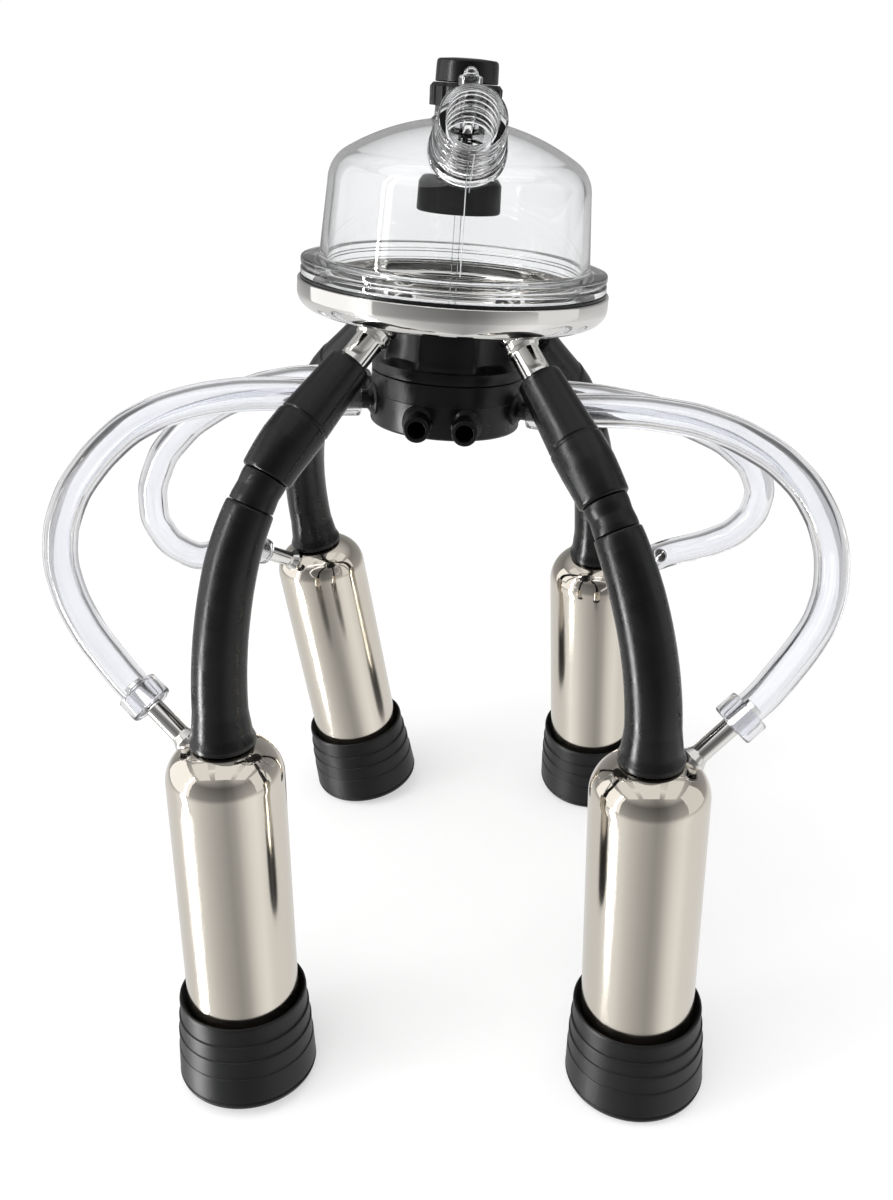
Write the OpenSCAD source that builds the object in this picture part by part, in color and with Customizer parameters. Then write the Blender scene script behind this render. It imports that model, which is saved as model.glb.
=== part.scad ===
// Milking cluster: a claw with four teat cups, standing upside down on the cups' mouthpieces.
// Millimetres, +Z up, +X to the right and +Y to the back, origin on the floor under the middle.

/* [Claw place] */
// Claw axis, sideways from the middle of the cluster
claw_x = 9.5; // [-15:0.5:15]
// Claw axis, depth from the middle of the cluster
claw_y = -7; // [-15:0.5:15]
// Height of the joint between bowl and cover above the floor
claw_h = 327.5; // [310:0.5:340]
// Lean of the claw about X on its rubber legs, degrees
claw_tip = -2.5; // [-5:0.5:0]
// Lean of the claw about Y on its rubber legs, degrees
claw_roll = 4.5; // [0:0.5:6]
// Turn of the cover, inlets and distributor about the claw axis, degrees
cover_turn = -3; // [-8:1:8]
// Turn of the bowl and its spout about the claw axis, degrees
bowl_turn = 1; // [-8:0.5:8]

/* [Front left cup] */
// Foot, sideways
fl_x = -87; // [-95:1:-79]
// Foot, depth
fl_y = -110; // [-118:1:-102]
// Lean about X, degrees
fl_tip = -4; // [-7:0.5:0]
// Lean about Y, degrees
fl_roll = 0.5; // [-3:0.5:3]
// Direction of the pulse nipple in plan, degrees
fl_aim = 155; // [140:1:175]

/* [Front right cup] */
// Foot, sideways
fr_x = 85; // [77:1:93]
// Foot, depth
fr_y = -117; // [-125:1:-109]
// Lean about X, degrees
fr_tip = -1; // [-5:0.5:2]
// Lean about Y, degrees
fr_roll = -0.5; // [-3:0.5:3]
// Direction of the pulse nipple in plan, degrees
fr_aim = 15; // [0:1:30]

/* [Back left cup] */
// Foot, sideways
bl_x = -46; // [-54:1:-38]
// Foot, depth
bl_y = 117; // [109:1:125]
// Lean about X, degrees
bl_tip = 4; // [0:0.5:7]
// Lean about Y, degrees
bl_roll = -7.5; // [-9:0.5:-3]
// Direction of the pulse nipple in plan, degrees
bl_aim = 225; // [210:1:240]

/* [Back right cup] */
// Foot, sideways
br_x = 92; // [84:1:100]
// Foot, depth
br_y = 110; // [102:1:118]
// Lean about X, degrees
br_tip = 9.5; // [4:0.5:11]
// Lean about Y, degrees
br_roll = -2.5; // [-5:0.5:1]
// Direction of the pulse nipple in plan, degrees
br_aim = 315; // [300:1:330]

/* [Bowl] */
// Outside diameter of the bowl's flange
flange_d = 125; // [122:0.5:128]
// Thickness of the flange
flange_t = 7; // [5:0.5:9]
// Depth of the groove that runs round the flange
flange_groove = 1.5; // [0.5:0.25:2.5]
// Width of the groove that runs round the flange
flange_groove_w = 1.4; // [1:0.1:2]
// Outside diameter of the dome where it meets the flange
dome_base_d = 110; // [106:1:112]
// Outside diameter of the dome at its shoulder
dome_d = 105; // [102:1:108]
// Height of the shoulder above the joint
dome_h = 36; // [30:1:42]
// Radius of the shoulder
dome_shoulder_r = 14.5; // [10:0.5:18]
// Radius of the shallow roof
dome_roof_r = 90; // [75:1:110]
// Wall thickness of the bowl
bowl_wall = 2.8; // [2:0.1:3.5]
// Outside diameter of the neck on the roof
neck_d = 23; // [21:0.5:24]
// Height of the neck's end above the joint
neck_h = 71; // [69:0.5:74]

/* [Spout] */
// Outside diameter at the spout's mouth
spout_d = 23.5; // [21:0.5:26]
// Outside diameter of the base ring on the roof
spout_base_d = 29; // [27:0.5:31]
// Bore of the spout
spout_bore = 18.5; // [16:0.5:19.5]
// Bore of the wider way from the bowl into the spout
spout_throat_d = 20.5; // [19.5:0.5:22]
// Distance from the spout's base ring to where its narrower bore starts
spout_throat_to = 4; // [3.5:0.5:6]
// Distance of the spout's base ring from the claw axis
spout_root = 44.5; // [42:0.5:47]
// Height of the base ring's middle above the joint
spout_root_h = 51.5; // [49:0.5:53]
// Length from the base ring to the mouth
spout_l = 28.5; // [24:0.5:36]
// Rise of the spout above the joint's plane, degrees
spout_rise = 24; // [18:1:30]
// Number of raised rings on the spout
spout_rings = 5; // [3:1:7]
// Depth of the step at each ring
spout_ring_h = 0.7; // [0.3:0.1:1]
// Diameter of the vent peg's post
peg_d = 6.5; // [5:0.5:8]
// Diameter of the vent peg's head
peg_head_d = 8.5; // [7:0.5:9]
// Height of the vent peg's head
peg_head_l = 6.8; // [6:0.2:8]
// Distance of the vent peg from the claw axis
peg_reach = 33; // [30:0.5:36]
// Height of the vent peg's top above the joint
peg_h = 79.5; // [77:0.5:84]

/* [Cover] */
// Outside diameter of the steel cover
cover_d = 127.5; // [125:0.5:131]
// Sheet thickness of the cover
cover_t = 1.5; // [1:0.1:2]
// Width of the ledge that the seal lies on
cover_ledge = 7; // [5:0.5:9]
// Height of the cover's upright wall
cover_wall_h = 5; // [3:0.5:7]
// Radius of the cover's lower edge
cover_edge_r = 7; // [5:0.5:9]
// Drop of the sloping floor towards the middle
cover_slope = 2.5; // [1.5:0.25:4]
// Diameter of the flat middle of the floor
cover_flat_d = 72; // [68:1:76]
// Thickness of the seal between bowl and cover
seal_t = 1.2; // [0.8:0.1:2]
// Width of the seal
seal_w = 5.5; // [4:0.5:6.5]
// Diameter of the rubber disc on the cover's floor
disc_d = 56; // [50:1:57]
// Thickness of the rubber disc
disc_t = 1.5; // [1:0.1:2.5]

/* [Milk inlets] */
// Outside diameter of an inlet tube
inlet_d = 11.6; // [10:0.1:12]
// Bore of an inlet tube
inlet_bore = 8.4; // [7:0.1:9]
// Distance of an inlet from the claw axis at the cover's underside
inlet_reach = 39.5; // [38:0.5:43]
// Angle between an inlet and the front or back, degrees
inlet_spread = 41.5; // [38:0.5:45]
// Fall of an inlet below the horizontal, degrees
inlet_drop = 41; // [38:0.5:45]
// Length of an inlet inside the cover
inlet_inside = 8; // [7:0.5:9]
// Length of an inlet outside the cover
inlet_outside = 44; // [36:1:50]
// Diameter of the bulged weld collar
collar_d = 13.8; // [13:0.1:15]
// Length of the weld collar along the inlet's axis
collar_l = 8; // [7:0.5:10]

/* [Distributor] */
// Diameter of the pulse distributor
drum_d = 64; // [60:1:66]
// Height of its lower body
drum_h = 22.5; // [20:0.5:25]
// Wall thickness of the lower body
drum_wall = 3; // [2:0.5:4]
// Height of its upper part
star_h = 21.5; // [19:0.5:24]
// Thickness of the upper part's lower rim
star_rim = 5; // [4:0.5:7]
// Diameter of the star above the rim
star_d = 58; // [54:1:60]
// Radius of the hollows that clear the inlets
star_hollow_r = 13; // [10:0.5:15]
// Height of the hollows' floor above the rim
star_hollow_z = 1; // [0.5:0.25:2]
// Distance of the hollows' middle inside the inlets' circle
star_hollow_in = 3; // [2:0.5:4]
// Depth of the spigot that centres the upper part
spigot_h = 3; // [2:0.5:5]
// Height of the side nipples above the drum's underside
port_h = 10.5; // [9:0.5:12]
// Height of the front nipples above the drum's underside
front_port_h = 7; // [7:0.5:10]
// Outside diameter of a side nipple
port_d = 8; // [7:0.1:8.5]
// Bore of a side nipple
port_bore = 5; // [4:0.1:5.5]
// Length of the side nipples beyond the drum
side_port_l = 18; // [15:0.5:22]
// Angle of a side nipple from straight sideways, degrees
side_port_spread = 20; // [15:1:28]
// Length of the front nipples beyond the drum
front_port_l = 12; // [9:0.5:16]
// Sideways distance of a front nipple from the middle
front_port_x = 9.5; // [8.5:0.5:12]
// Outside diameter of a front nipple
front_port_d = 9.2; // [8.8:0.1:9.6]
// Bore of a front nipple
front_port_bore = 7; // [5:0.1:7.5]
// Diameter of the lip on a front nipple
front_lip_d = 10.4; // [9.8:0.1:11]
// Length of the lip on a front nipple
front_lip_l = 2.5; // [1.5:0.5:4]
// Diameter of the centre screw
screw_d = 6; // [5:0.5:7]
// Diameter of the screw's head
screw_head_d = 11; // [9:0.5:13]
// Height of the screw's head
screw_head_h = 3; // [2:0.5:4]
// Depth of the screw in the drum's boss
screw_in = 12; // [8:1:16]
// Diameter of the boss that takes the screw
boss_d = 13; // [11:0.5:15]

/* [Shut off valve] */
// Diameter of the rubber cap
cap_d = 24; // [22:0.5:26]
// Height of the rubber cap
cap_h = 8.5; // [7:0.5:11]
// Rounding of the rubber cap's edge
cap_edge = 2; // [1:0.25:3]
// Diameter of the ribbed grip
grip_d = 28.2; // [27:0.2:29]
// Height of the ribbed grip
grip_h = 8.5; // [7:0.5:10]
// Height of the grip's lower edge above the joint
grip_z = 65.5; // [64.5:0.5:67]
// Depth of the grooves between the grip's ribs
rib_depth = 0.8; // [0.4:0.1:1.2]
// Number of grooves round the grip
rib_count = 16; // [12:1:32]
// Clearance between neck and grip
grip_gap = 0.4; // [0.3:0.1:0.8]
// Diameter of the valve stem
stem_d = 8; // [7:0.1:9]
// Clearance on the radius between the stem and its guide
stem_gap = 0.05; // [0.02:0.01:0.08]
// Height of the stem's guide bush
bush_h = 8; // [6:0.5:10]
// Diameter of the valve cup's rim
valve_d = 33.8; // [30:0.2:36]
// Height of the valve cup
valve_h = 13; // [11:0.5:15]
// Height of the valve cup's rim above the joint
valve_z = 28.5; // [26:0.5:30]
// Wall of the valve cup
valve_wall = 3; // [2:0.25:4]
// Diameter of the rod under the valve cup
rod_d = 3; // [2.5:0.1:4]
// Clearance between the rod's end and the screw's head
rod_gap = 0.3; // [0.2:0.05:0.5]

/* [Shell] */
// Outside diameter of a steel shell
shell_d = 48; // [46:0.5:49]
// Sheet thickness of a shell
shell_t = 1.2; // [0.8:0.1:1.5]
// Height of the shell's open end above the mouthpiece's foot
shell_z = 14; // [12:0.5:18]
// Height where the rounded shoulder starts
shell_shoulder_z = 147; // [140:1:152]
// Radius of the rounded shoulder
shell_shoulder_r = 15; // [12:0.5:15.5]
// Outside diameter of the pulse nipple on a shell
nipple_d = 8; // [7:0.1:8.5]
// Bore of the pulse nipple on a shell
nipple_bore = 6; // [5:0.1:6.2]
// Rise of the pulse nipple above the shell's cross plane, degrees
nipple_rise = 39; // [34:1:44]
// Distance of the nipple's axis from the shell's axis at the shoulder
nipple_root = 18; // [17.5:0.25:18.5]
// Height of the nipple's axis at the shoulder above the shoulder's start
nipple_root_h = 12.5; // [12:0.25:13]
// Length of the nipple that stays bare
nipple_bare = 20; // [18:0.5:24]
// Length of the nipple inside its tube
nipple_grip = 12; // [10:0.5:14]
// Length of the nipple inside the shell
nipple_inside = 4; // [3.8:0.1:4.4]

/* [Liner] */
// Diameter of the mouthpiece near the floor
mouth_d = 60.4; // [58:0.2:64]
// Rounding of the mouthpiece's foot
mouth_edge = 3; // [2:0.5:4]
// Diameter of the mouthpiece's upper lip
lip_d = 54.8; // [53:0.2:56.5]
// Height of the mouthpiece's upper lip
lip_h = 41.5; // [38:0.5:45]
// Diameter of the opening for the teat
teat_d = 23; // [21:0.5:25]
// Thickness of the mouthpiece's floor
mouth_floor = 4; // [3:0.5:6]
// Diameter of the mouthpiece's chamber
chamber_d = 39; // [36:0.5:41]
// Number of grooves round the mouthpiece
mouth_grooves = 3; // [2:1:4]
// Height of the lowest groove
groove_z = 16; // [12:0.5:18]
// Distance between the grooves
groove_pitch = 8; // [6:0.5:9]
// Depth of a groove
groove_depth = 0.8; // [0.4:0.1:1.2]
// Outside diameter of the barrel inside the shell
barrel_d = 27; // [25:0.5:29]
// Bore of the barrel
barrel_bore = 21.5; // [19:0.5:22.5]
// Diameter of the liner's neck in the shell's end
neck_hole_d = 23; // [21:0.5:24]
// Diameter of the foot that rests on the shell's end
foot_d = 27.5; // [26:0.5:29]
// Height of the foot's flare
foot_h = 11; // [9:0.5:14]
// Height of the foot's straight rim
foot_rim = 2.2; // [1:0.2:3]
// Outside diameter of the liner's tail
tail_d = 21; // [19:0.5:23]
// Bore of the milk way in tail and tubes
milk_bore = 11.6; // [10:0.1:12]

/* [Milk tube] */
// Straight length from the cover to the start of the leg's bend
lead_l = 58; // [54:1:62]
// Distance of the milk tube's upper end from the cover
tube_from = 21; // [18:0.5:24]
// Outside diameter of the milk tube
tube_d = 19.5; // [18:0.5:20.5]
// Distance of the thick cuff from the cover
cuff_from = 52; // [48:1:56]
// Outside diameter of the thick cuff
cuff_d = 21.4; // [21:0.1:22.5]
// Distance of the milk tube's lower end from the cover
tube_to = 77; // [73:1:81]
// Bare length of the connector between milk tube and tail
link_l = 12.5; // [10:0.5:15]
// Outside diameter of the connector's bare part
link_d = 17.8; // [16:0.2:18.6]
// Bore of the connector
link_bore = 8.6; // [7:0.1:9]
// Length of the connector inside tube and tail
link_in = 10; // [8:0.5:12]

/* [Pulse tube] */
// Outside diameter of a pulse tube
pulse_d = 14; // [12.5:0.5:15]
// Clearance between a pulse tube's bore and the nipples
pulse_gap = 0.1; // [0.05:0.05:0.3]
// Bare length of a side nipple between drum and tube
port_bare = 6; // [4:0.5:8]
// Straight length of a pulse tube before it reaches a shell's nipple
pulse_lead = 4; // [2:0.5:6]
// Outside diameter of the clear cuff on a front tube's end
pulse_cuff_d = 18.4; // [17:0.2:20]
// Length of the clear cuff
pulse_cuff_l = 10; // [8:0.5:14]
// Gap between tube and cuff
pulse_cuff_gap = 0.1; // [0.05:0.05:0.3]

/* [Hidden] */
$fn = 96;

steel = [0.77, 0.76, 0.73];
rubber = [0.07, 0.07, 0.075];
plastic_black = [0.1, 0.1, 0.105];
clear = [0.86, 0.9, 0.94, 0.35];
clear_lilac = [0.83, 0.84, 0.93, 0.45];

FL = 0;
FR = 1;
BL = 2;
BR = 3;
foot_at = [[fl_x, fl_y], [fr_x, fr_y], [bl_x, bl_y], [br_x, br_y]];
cup_tip = [fl_tip, fr_tip, bl_tip, br_tip];
cup_roll = [fl_roll, fr_roll, bl_roll, br_roll];
nipple_aim = [fl_aim, fr_aim, bl_aim, br_aim];
inlet_az = [270 - inlet_spread, 270 + inlet_spread, 90 + inlet_spread, 90 - inlet_spread];
port_az = [180 + side_port_spread, -side_port_spread, 180 - side_port_spread, side_port_spread];

// Heights on the claw axis, from the joint between bowl and cover
ledge_z = -seal_t;
cover_bottom = ledge_z - cover_wall_h - cover_edge_r;
cover_floor = cover_bottom - cover_slope;
drum_top = cover_floor - star_h;
drum_bottom = drum_top - drum_h;
port_z = drum_bottom + port_h;
port_from = drum_d / 2 - 2 * drum_wall;
front_port_z = drum_bottom + front_port_h;
disc_top = cover_floor + cover_t + disc_t;
cap_z = grip_z + grip_h;
neck_bore = neck_d - 2 * bowl_wall;
roof_at = [dome_d / 2 - dome_shoulder_r, dome_h];
// Turn of the dome's shoulder before its roof starts, degrees
shoulder_turn = 58;

// Overlap and step in diameter where the pieces of a leg join
seam_l = 0.5;
seam_step = 0.1;

// Heights on a cup's axis, from the mouthpiece's foot
shell_top = shell_shoulder_z + shell_shoulder_r;
liner_top = shell_top + foot_h;

// Middle points of the four pulse tubes, chosen by hand: each goes from the drum to its cup
ROUTE = [
    [[-44, -22, 284], [-61, -26, 286], [-78, -29, 287], [-94, -33, 286], [-109, -37, 283],
     [-123, -41, 277], [-135, -46, 267], [-145, -51, 255], [-151, -56, 241], [-152, -61, 227],
     [-148, -66, 213], [-141, -71, 200]],
    [[54, -28, 278], [69, -32, 279], [87, -36, 279], [106, -41, 277], [123, -46, 272], [138, -51, 264],
     [149, -57, 254], [156, -63, 242], [159, -69, 230], [158, -76, 217], [153, -83, 206], [145, -89, 197]],
    [[-43, 12, 281], [-59, 16, 280], [-77, 21, 276], [-96, 27, 268], [-114, 33, 256], [-129, 38, 240],
     [-138, 43, 221], [-140, 48, 202], [-134, 53, 186], [-122, 59, 176]],
    [[56, 7, 274], [74, 10, 271], [94, 13, 266], [115, 16, 259], [134, 19, 249], [148, 23, 236],
     [155, 28, 221], [154, 33, 206], [146, 38, 194], [134, 44, 186]],
];

function unit(v) = v / norm(v);
function flat(v, n) = v - n * (v * n);
function arc_points(centre, r, from, to, steps) =
    [for (k = [0:steps]) let (a = from + (to - from) * k / steps) centre + r * [cos(a), sin(a)]];
function columns(x, y, z, o) = [for (k = [0:2]) [x[k], y[k], z[k], o[k]]];
function any_normal(t) = unit(cross(t, abs(t.z) < 0.9 ? [0, 0, 1] : [1, 0, 0]));
function spin(az, p) = [p.x * cos(az) - p.y * sin(az), p.x * sin(az) + p.y * cos(az), p.z];

// A direction after a lean about X and then about Y
function leant(tip, roll, d) =
    let (y = d.y * cos(tip) - d.z * sin(tip), z = d.y * sin(tip) + d.z * cos(tip))
    [d.x * cos(roll) + z * sin(roll), y, z * cos(roll) - d.x * sin(roll)];

// The claw's own frame leans at the height of the joint between bowl and cover
function claw_dir(d) = leant(claw_tip, claw_roll, d);
function claw_point(p) = [claw_x, claw_y, claw_h] + claw_dir(p);

// A cup's own frame leans at its foot, whose lowest point is on the floor
function cup_dir(i, d) = leant(cup_tip[i], cup_roll[i], d);
function cup_axis(i) = cup_dir(i, [0, 0, 1]);
function cup_lift(i) =
    let (c = cup_axis(i).z) (mouth_d / 2 - mouth_edge) * sqrt(1 - c * c) + mouth_edge * (1 - c);
function cup_point(i, p) = [foot_at[i].x, foot_at[i].y, cup_lift(i)] + cup_dir(i, p);

// An inlet's root on the cover's underside and its direction
function inlet_dir(i) =
    claw_dir(spin(inlet_az[i] + cover_turn, [cos(inlet_drop), 0, -sin(inlet_drop)]));
function inlet_z() =
    let (flat_r = cover_flat_d / 2, edge_r = cover_d / 2 - cover_edge_r)
    cover_floor + cover_slope * (inlet_reach - flat_r) / (edge_r - flat_r);
function inlet_root(i) = claw_point(spin(inlet_az[i] + cover_turn, [inlet_reach, 0, inlet_z()]));

// A leg is a straight lead and two arcs that meet smoothly, down to the liner's foot
function arc_to(p, t, q) = let (c = q - p, n = unit(flat(c, t)), r = (c * c) / (2 * (c * n)))
    [p, t, n, r, 2 * atan2(c * n, c * t) * PI / 180 * r];
function biarc_reach(v, t0, t1) = let (t = t0 + t1, k = 2 * (1 - t0 * t1))
    (sqrt((v * t) * (v * t) + k * (v * v)) - v * t) / k;
function leg(i) =
    let (t0 = inlet_dir(i),
         p0 = inlet_root(i) + lead_l * t0,
         t1 = -cup_axis(i),
         p1 = cup_point(i, [0, 0, liner_top]),
         d = biarc_reach(p1 - p0, t0, t1),
         m = (p0 + d * t0 + p1 - d * t1) / 2,
         tm = unit(p1 - d * t1 - p0 - d * t0))
    [[inlet_root(i), t0, [0, 0, 0], 0, lead_l], arc_to(p0, t0, m), arc_to(m, tm, p1)];
function leg_length(path) = path[0][4] + path[1][4] + path[2][4];

// A shell's pulse nipple, from the shoulder outwards
function nipple_dir(i) = cup_dir(i, spin(nipple_aim[i], [cos(nipple_rise), 0, sin(nipple_rise)]));
function nipple_point(i, s) = nipple_dir(i) * s
    + cup_point(i, spin(nipple_aim[i], [nipple_root, 0, shell_shoulder_z + nipple_root_h]));

// A side nipple on the drum, from the drum's wall outwards
function port_point(i, s) = claw_point(spin(port_az[i] + cover_turn, [drum_d / 2 + s, 0, port_z]));

// A pulse tube's whole route: straight off the side nipple, by hand, straight on to the shell's nipple
function pulse_route(i) = concat(
    [port_point(i, port_bare), port_point(i, side_port_l)],
    ROUTE[i],
    [nipple_point(i, nipple_bare + nipple_grip + pulse_lead),
     nipple_point(i, nipple_bare + nipple_grip), nipple_point(i, nipple_bare)]);
function route_dir(p, k) = unit(p[min(k + 1, len(p) - 1)] - p[max(k - 1, 0)]);
function carried(p, k) =
    k == 0 ? any_normal(route_dir(p, 0)) : unit(flat(carried(p, k - 1), route_dir(p, k)));
function route_ring(p, k, r, sides) = let (t = route_dir(p, k), n = carried(p, k), b = cross(t, n))
    [for (j = [0:sides - 1]) p[k] + r * (n * cos(360 * j / sides) + b * sin(360 * j / sides))];

module in_claw(turn = 0) {
    translate([claw_x, claw_y, claw_h])
        rotate([claw_tip, claw_roll, 0])
            rotate([0, 0, turn])
                children();
}

module in_cup(i) {
    translate([foot_at[i].x, foot_at[i].y, cup_lift(i)])
        rotate([cup_tip[i], cup_roll[i], 0])
            children();
}

// A round bar from p along t
module bar(p, t, d, l) {
    multmatrix(columns(any_normal(t), cross(t, any_normal(t)), t, p))
        cylinder(d = d, h = l);
}

// The stretch of a leg between two distances from the cover, as a round bar. Each piece is a hair
// slimmer than the one before it and starts inside it, so that they join into one solid.
module stretch(path, from, to, d) {
    starts = [0, path[0][4], path[0][4] + path[1][4]];
    for (k = [0:2]) {
        a = from < starts[k] && k > 0 ? -seam_l : from - starts[k];
        b = k < 2 ? min(to - starts[k], path[k][4]) : to - starts[k];
        slim = d - k * seam_step;
        if (b > max(a, 0) && k == 0)
            bar(path[0][0] + a * path[0][1], path[0][1], slim, b - a);
        if (b > max(a, 0) && k > 0)
            bend(path[k], a, b, slim);
    }
}

// Part of one arc of a leg
module bend(arc, a, b, d) {
    n = arc[2];
    r = arc[3];
    multmatrix(columns(-n, arc[1], -cross(n, arc[1]), arc[0] + r * n))
        rotate([0, 0, a / r * 180 / PI])
            rotate_extrude(angle = (b - a) / r * 180 / PI)
                translate([r, 0])
                    circle(d = d);
}

// Shoulder and roof of the dome, drawn in by a wall, up to a radius
function dome_curve(wall, r) =
    let (steps = 9, out = [cos(shoulder_turn), sin(shoulder_turn)],
         centre = roof_at + (dome_shoulder_r - dome_roof_r) * out,
         roof = dome_roof_r - wall)
    concat(
        arc_points(roof_at, dome_shoulder_r - wall, 0, shoulder_turn, steps),
        arc_points(centre, roof, shoulder_turn, acos((r - centre.x) / roof), steps));

// Half section of the bowl's outside: flange with its groove, dome and neck
module bowl_outline() {
    rim = flange_d / 2;
    groove = rim - flange_groove;
    low = (flange_t - flange_groove_w) / 2;
    high = (flange_t + flange_groove_w) / 2;
    polygon(concat(
        [[0, 0], [rim, 0], [rim, low], [groove, low], [groove, high], [rim, high],
         [rim, flange_t], [dome_base_d / 2, flange_t]],
        dome_curve(0, neck_d / 2),
        [[neck_d / 2, neck_h], [0, neck_h]]));
}

// Half section of the room inside the bowl
module bowl_room() {
    curve = dome_curve(bowl_wall, 0);
    polygon(concat(
        [[0, -flange_t], [dome_base_d / 2 - bowl_wall, -flange_t], [dome_base_d / 2 - bowl_wall, flange_t]],
        curve));
}

// Half section of the spout, with a step at each raised ring
module spout_outline() {
    inside = spout_root / 2;
    step = spout_l / (spout_rings + 1);
    polygon(concat(
        [[0, -inside], [spout_base_d / 2 - spout_ring_h, -inside], [spout_base_d / 2 - spout_ring_h, 0]],
        [for (k = [0:spout_rings], low = [1, 0])
            [spout_base_d / 2 + (spout_d - spout_base_d) / 2 * k / spout_rings - (1 - low) * spout_ring_h,
             (k + 1 - low) * step]],
        [[0, spout_l]]));
}

// Half section of the vent peg, from its root to its domed head
module peg_outline() {
    l = peg_h - spout_root_h;
    neck = l - peg_head_l;
    polygon(concat(
        [[0, 0], [peg_d / 2, 0], [peg_d / 2, neck], [peg_head_d / 2, neck]],
        arc_points([0, l - peg_head_d / 2], peg_head_d / 2, 0, 90, 6)));
}

module in_spout() {
    translate([0, -spout_root, spout_root_h])
        rotate([90 - spout_rise, 0, 0])
            children();
}

// The way from the bowl's room into the spout, wider than the spout's bore
module spout_throat() {
    in_spout()
        translate([0, 0, -spout_root])
            cylinder(d = spout_throat_d, h = spout_root + spout_throat_to);
}

module bowl() {
    color(clear)
        in_claw(bowl_turn)
            difference() {
                rotate_extrude()
                    bowl_outline();
                rotate_extrude()
                    bowl_room();
                translate([0, 0, dome_h])
                    cylinder(d = neck_bore, h = neck_h);
                spout_throat();
            }
}

module spout() {
    color(clear)
        in_claw(bowl_turn)
            difference() {
                union() {
                    in_spout()
                        rotate_extrude()
                            spout_outline();
                    translate([0, -peg_reach, spout_root_h])
                        rotate_extrude()
                            peg_outline();
                }
                rotate_extrude()
                    bowl_outline();
                spout_throat();
                in_spout()
                    cylinder(d = spout_bore, h = 2 * spout_l);
            }
}

module bowl_seal() {
    color(rubber)
        in_claw()
            translate([0, 0, -seal_t])
                difference() {
                    cylinder(d = flange_d, h = seal_t);
                    cylinder(d = flange_d - 2 * seal_w, h = 3 * seal_t, center = true);
                }
}

// Outline of the cover's outside, drawn in by the sheet's thickness
module cover_outline(wall) {
    steps = 7;
    edge_at = [cover_d / 2 - cover_edge_r, ledge_z - cover_wall_h];
    polygon(concat(
        [[0, ledge_z], [0, cover_floor + wall], [cover_flat_d / 2, cover_floor + wall]],
        arc_points(edge_at, cover_edge_r - wall, -90, 0, steps),
        [[cover_d / 2 - wall, ledge_z]]));
}

module cover() {
    color(steel)
        difference() {
            in_claw()
                rotate_extrude()
                    difference() {
                        cover_outline(0);
                        difference() {
                            cover_outline(cover_t);
                            translate([cover_d / 2 - cover_ledge, ledge_z - cover_t])
                                square([cover_ledge, 2 * cover_t]);
                        }
                    }
            in_claw()
                translate([0, 0, cover_floor - cover_t])
                    cylinder(d = screw_d, h = 3 * cover_t);
            for (i = [FL:BR])
                inlet_bar(i, inlet_d, inlet_inside + lead_l);
        }
}

module floor_disc() {
    color(rubber)
        in_claw()
            translate([0, 0, disc_top - disc_t])
                difference() {
                    cylinder(d = disc_d, h = disc_t);
                    cylinder(d = screw_d, h = 3 * disc_t, center = true);
                }
}

module centre_screw() {
    color(steel)
        in_claw() {
            translate([0, 0, disc_top])
                cylinder(d = screw_head_d, h = screw_head_h);
            translate([0, 0, drum_top - screw_in])
                cylinder(d = screw_d, h = disc_top - drum_top + screw_in);
        }
}

// Half section of the distributor's upper part: spigot, rim and star
module star_outline() {
    rim_top = drum_top + star_rim;
    polygon([
        [0, drum_top - spigot_h], [drum_d / 2 - drum_wall, drum_top - spigot_h],
        [drum_d / 2 - drum_wall, drum_top], [drum_d / 2, drum_top], [drum_d / 2, rim_top],
        [star_d / 2, rim_top], [star_d / 2, cover_floor], [0, cover_floor]]);
}

module distributor_top() {
    color(plastic_black)
        in_claw(cover_turn)
            difference() {
                rotate_extrude()
                    star_outline();
                for (az = inlet_az)
                    rotate([0, 0, az])
                        translate([inlet_reach - star_hollow_in, 0, drum_top + star_rim + star_hollow_z])
                            cylinder(r = star_hollow_r, h = star_h);
                translate([0, 0, drum_bottom])
                    cylinder(d = boss_d, h = drum_h);
                translate([0, 0, drum_bottom])
                    cylinder(d = screw_d, h = drum_h + 2 * star_h);
            }
}

// A round bar along X, from a reach inside the drum to a length beyond its wall
module port(d, l, from = port_from) {
    translate([from, 0, 0])
        rotate([0, 90, 0])
            cylinder(d = d, h = drum_d / 2 + l - from);
}

module in_side_port(i) {
    rotate([0, 0, port_az[i]])
        translate([0, 0, port_z])
            children();
}

module in_front_port(side) {
    translate([side * front_port_x, 0, front_port_z])
        rotate([0, 0, -90])
            children();
}

module distributor_body() {
    color(plastic_black)
        in_claw(cover_turn)
            difference() {
                translate([0, 0, drum_bottom])
                    cylinder(d = drum_d, h = drum_h);
                difference() {
                    translate([0, 0, drum_bottom + drum_wall])
                        cylinder(d = drum_d - 2 * drum_wall, h = drum_h);
                    translate([-drum_wall / 2, -drum_d / 2, drum_bottom])
                        cube([drum_wall, drum_d, drum_h - spigot_h]);
                    translate([0, 0, drum_bottom])
                        cylinder(d = boss_d, h = drum_h);
                }
                for (i = [FL:BR])
                    in_side_port(i)
                        port(port_d, side_port_l);
                for (side = [-1, 1])
                    in_front_port(side)
                        port(front_port_d, front_port_l);
                translate([0, 0, drum_top - screw_in])
                    cylinder(d = screw_d, h = 2 * screw_in);
            }
}

module side_nipple(i) {
    color(plastic_black)
        in_claw(cover_turn)
            in_side_port(i)
                difference() {
                    port(port_d, side_port_l);
                    port(port_bore, 2 * side_port_l, 0);
                }
}

module front_nipple(side) {
    color(plastic_black)
        in_claw(cover_turn)
            in_front_port(side)
                difference() {
                    union() {
                        port(front_port_d, front_port_l);
                        port(front_lip_d, front_port_l, drum_d / 2 + front_port_l - front_lip_l);
                    }
                    port(front_port_bore, 2 * front_port_l, 0);
                }
}

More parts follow.
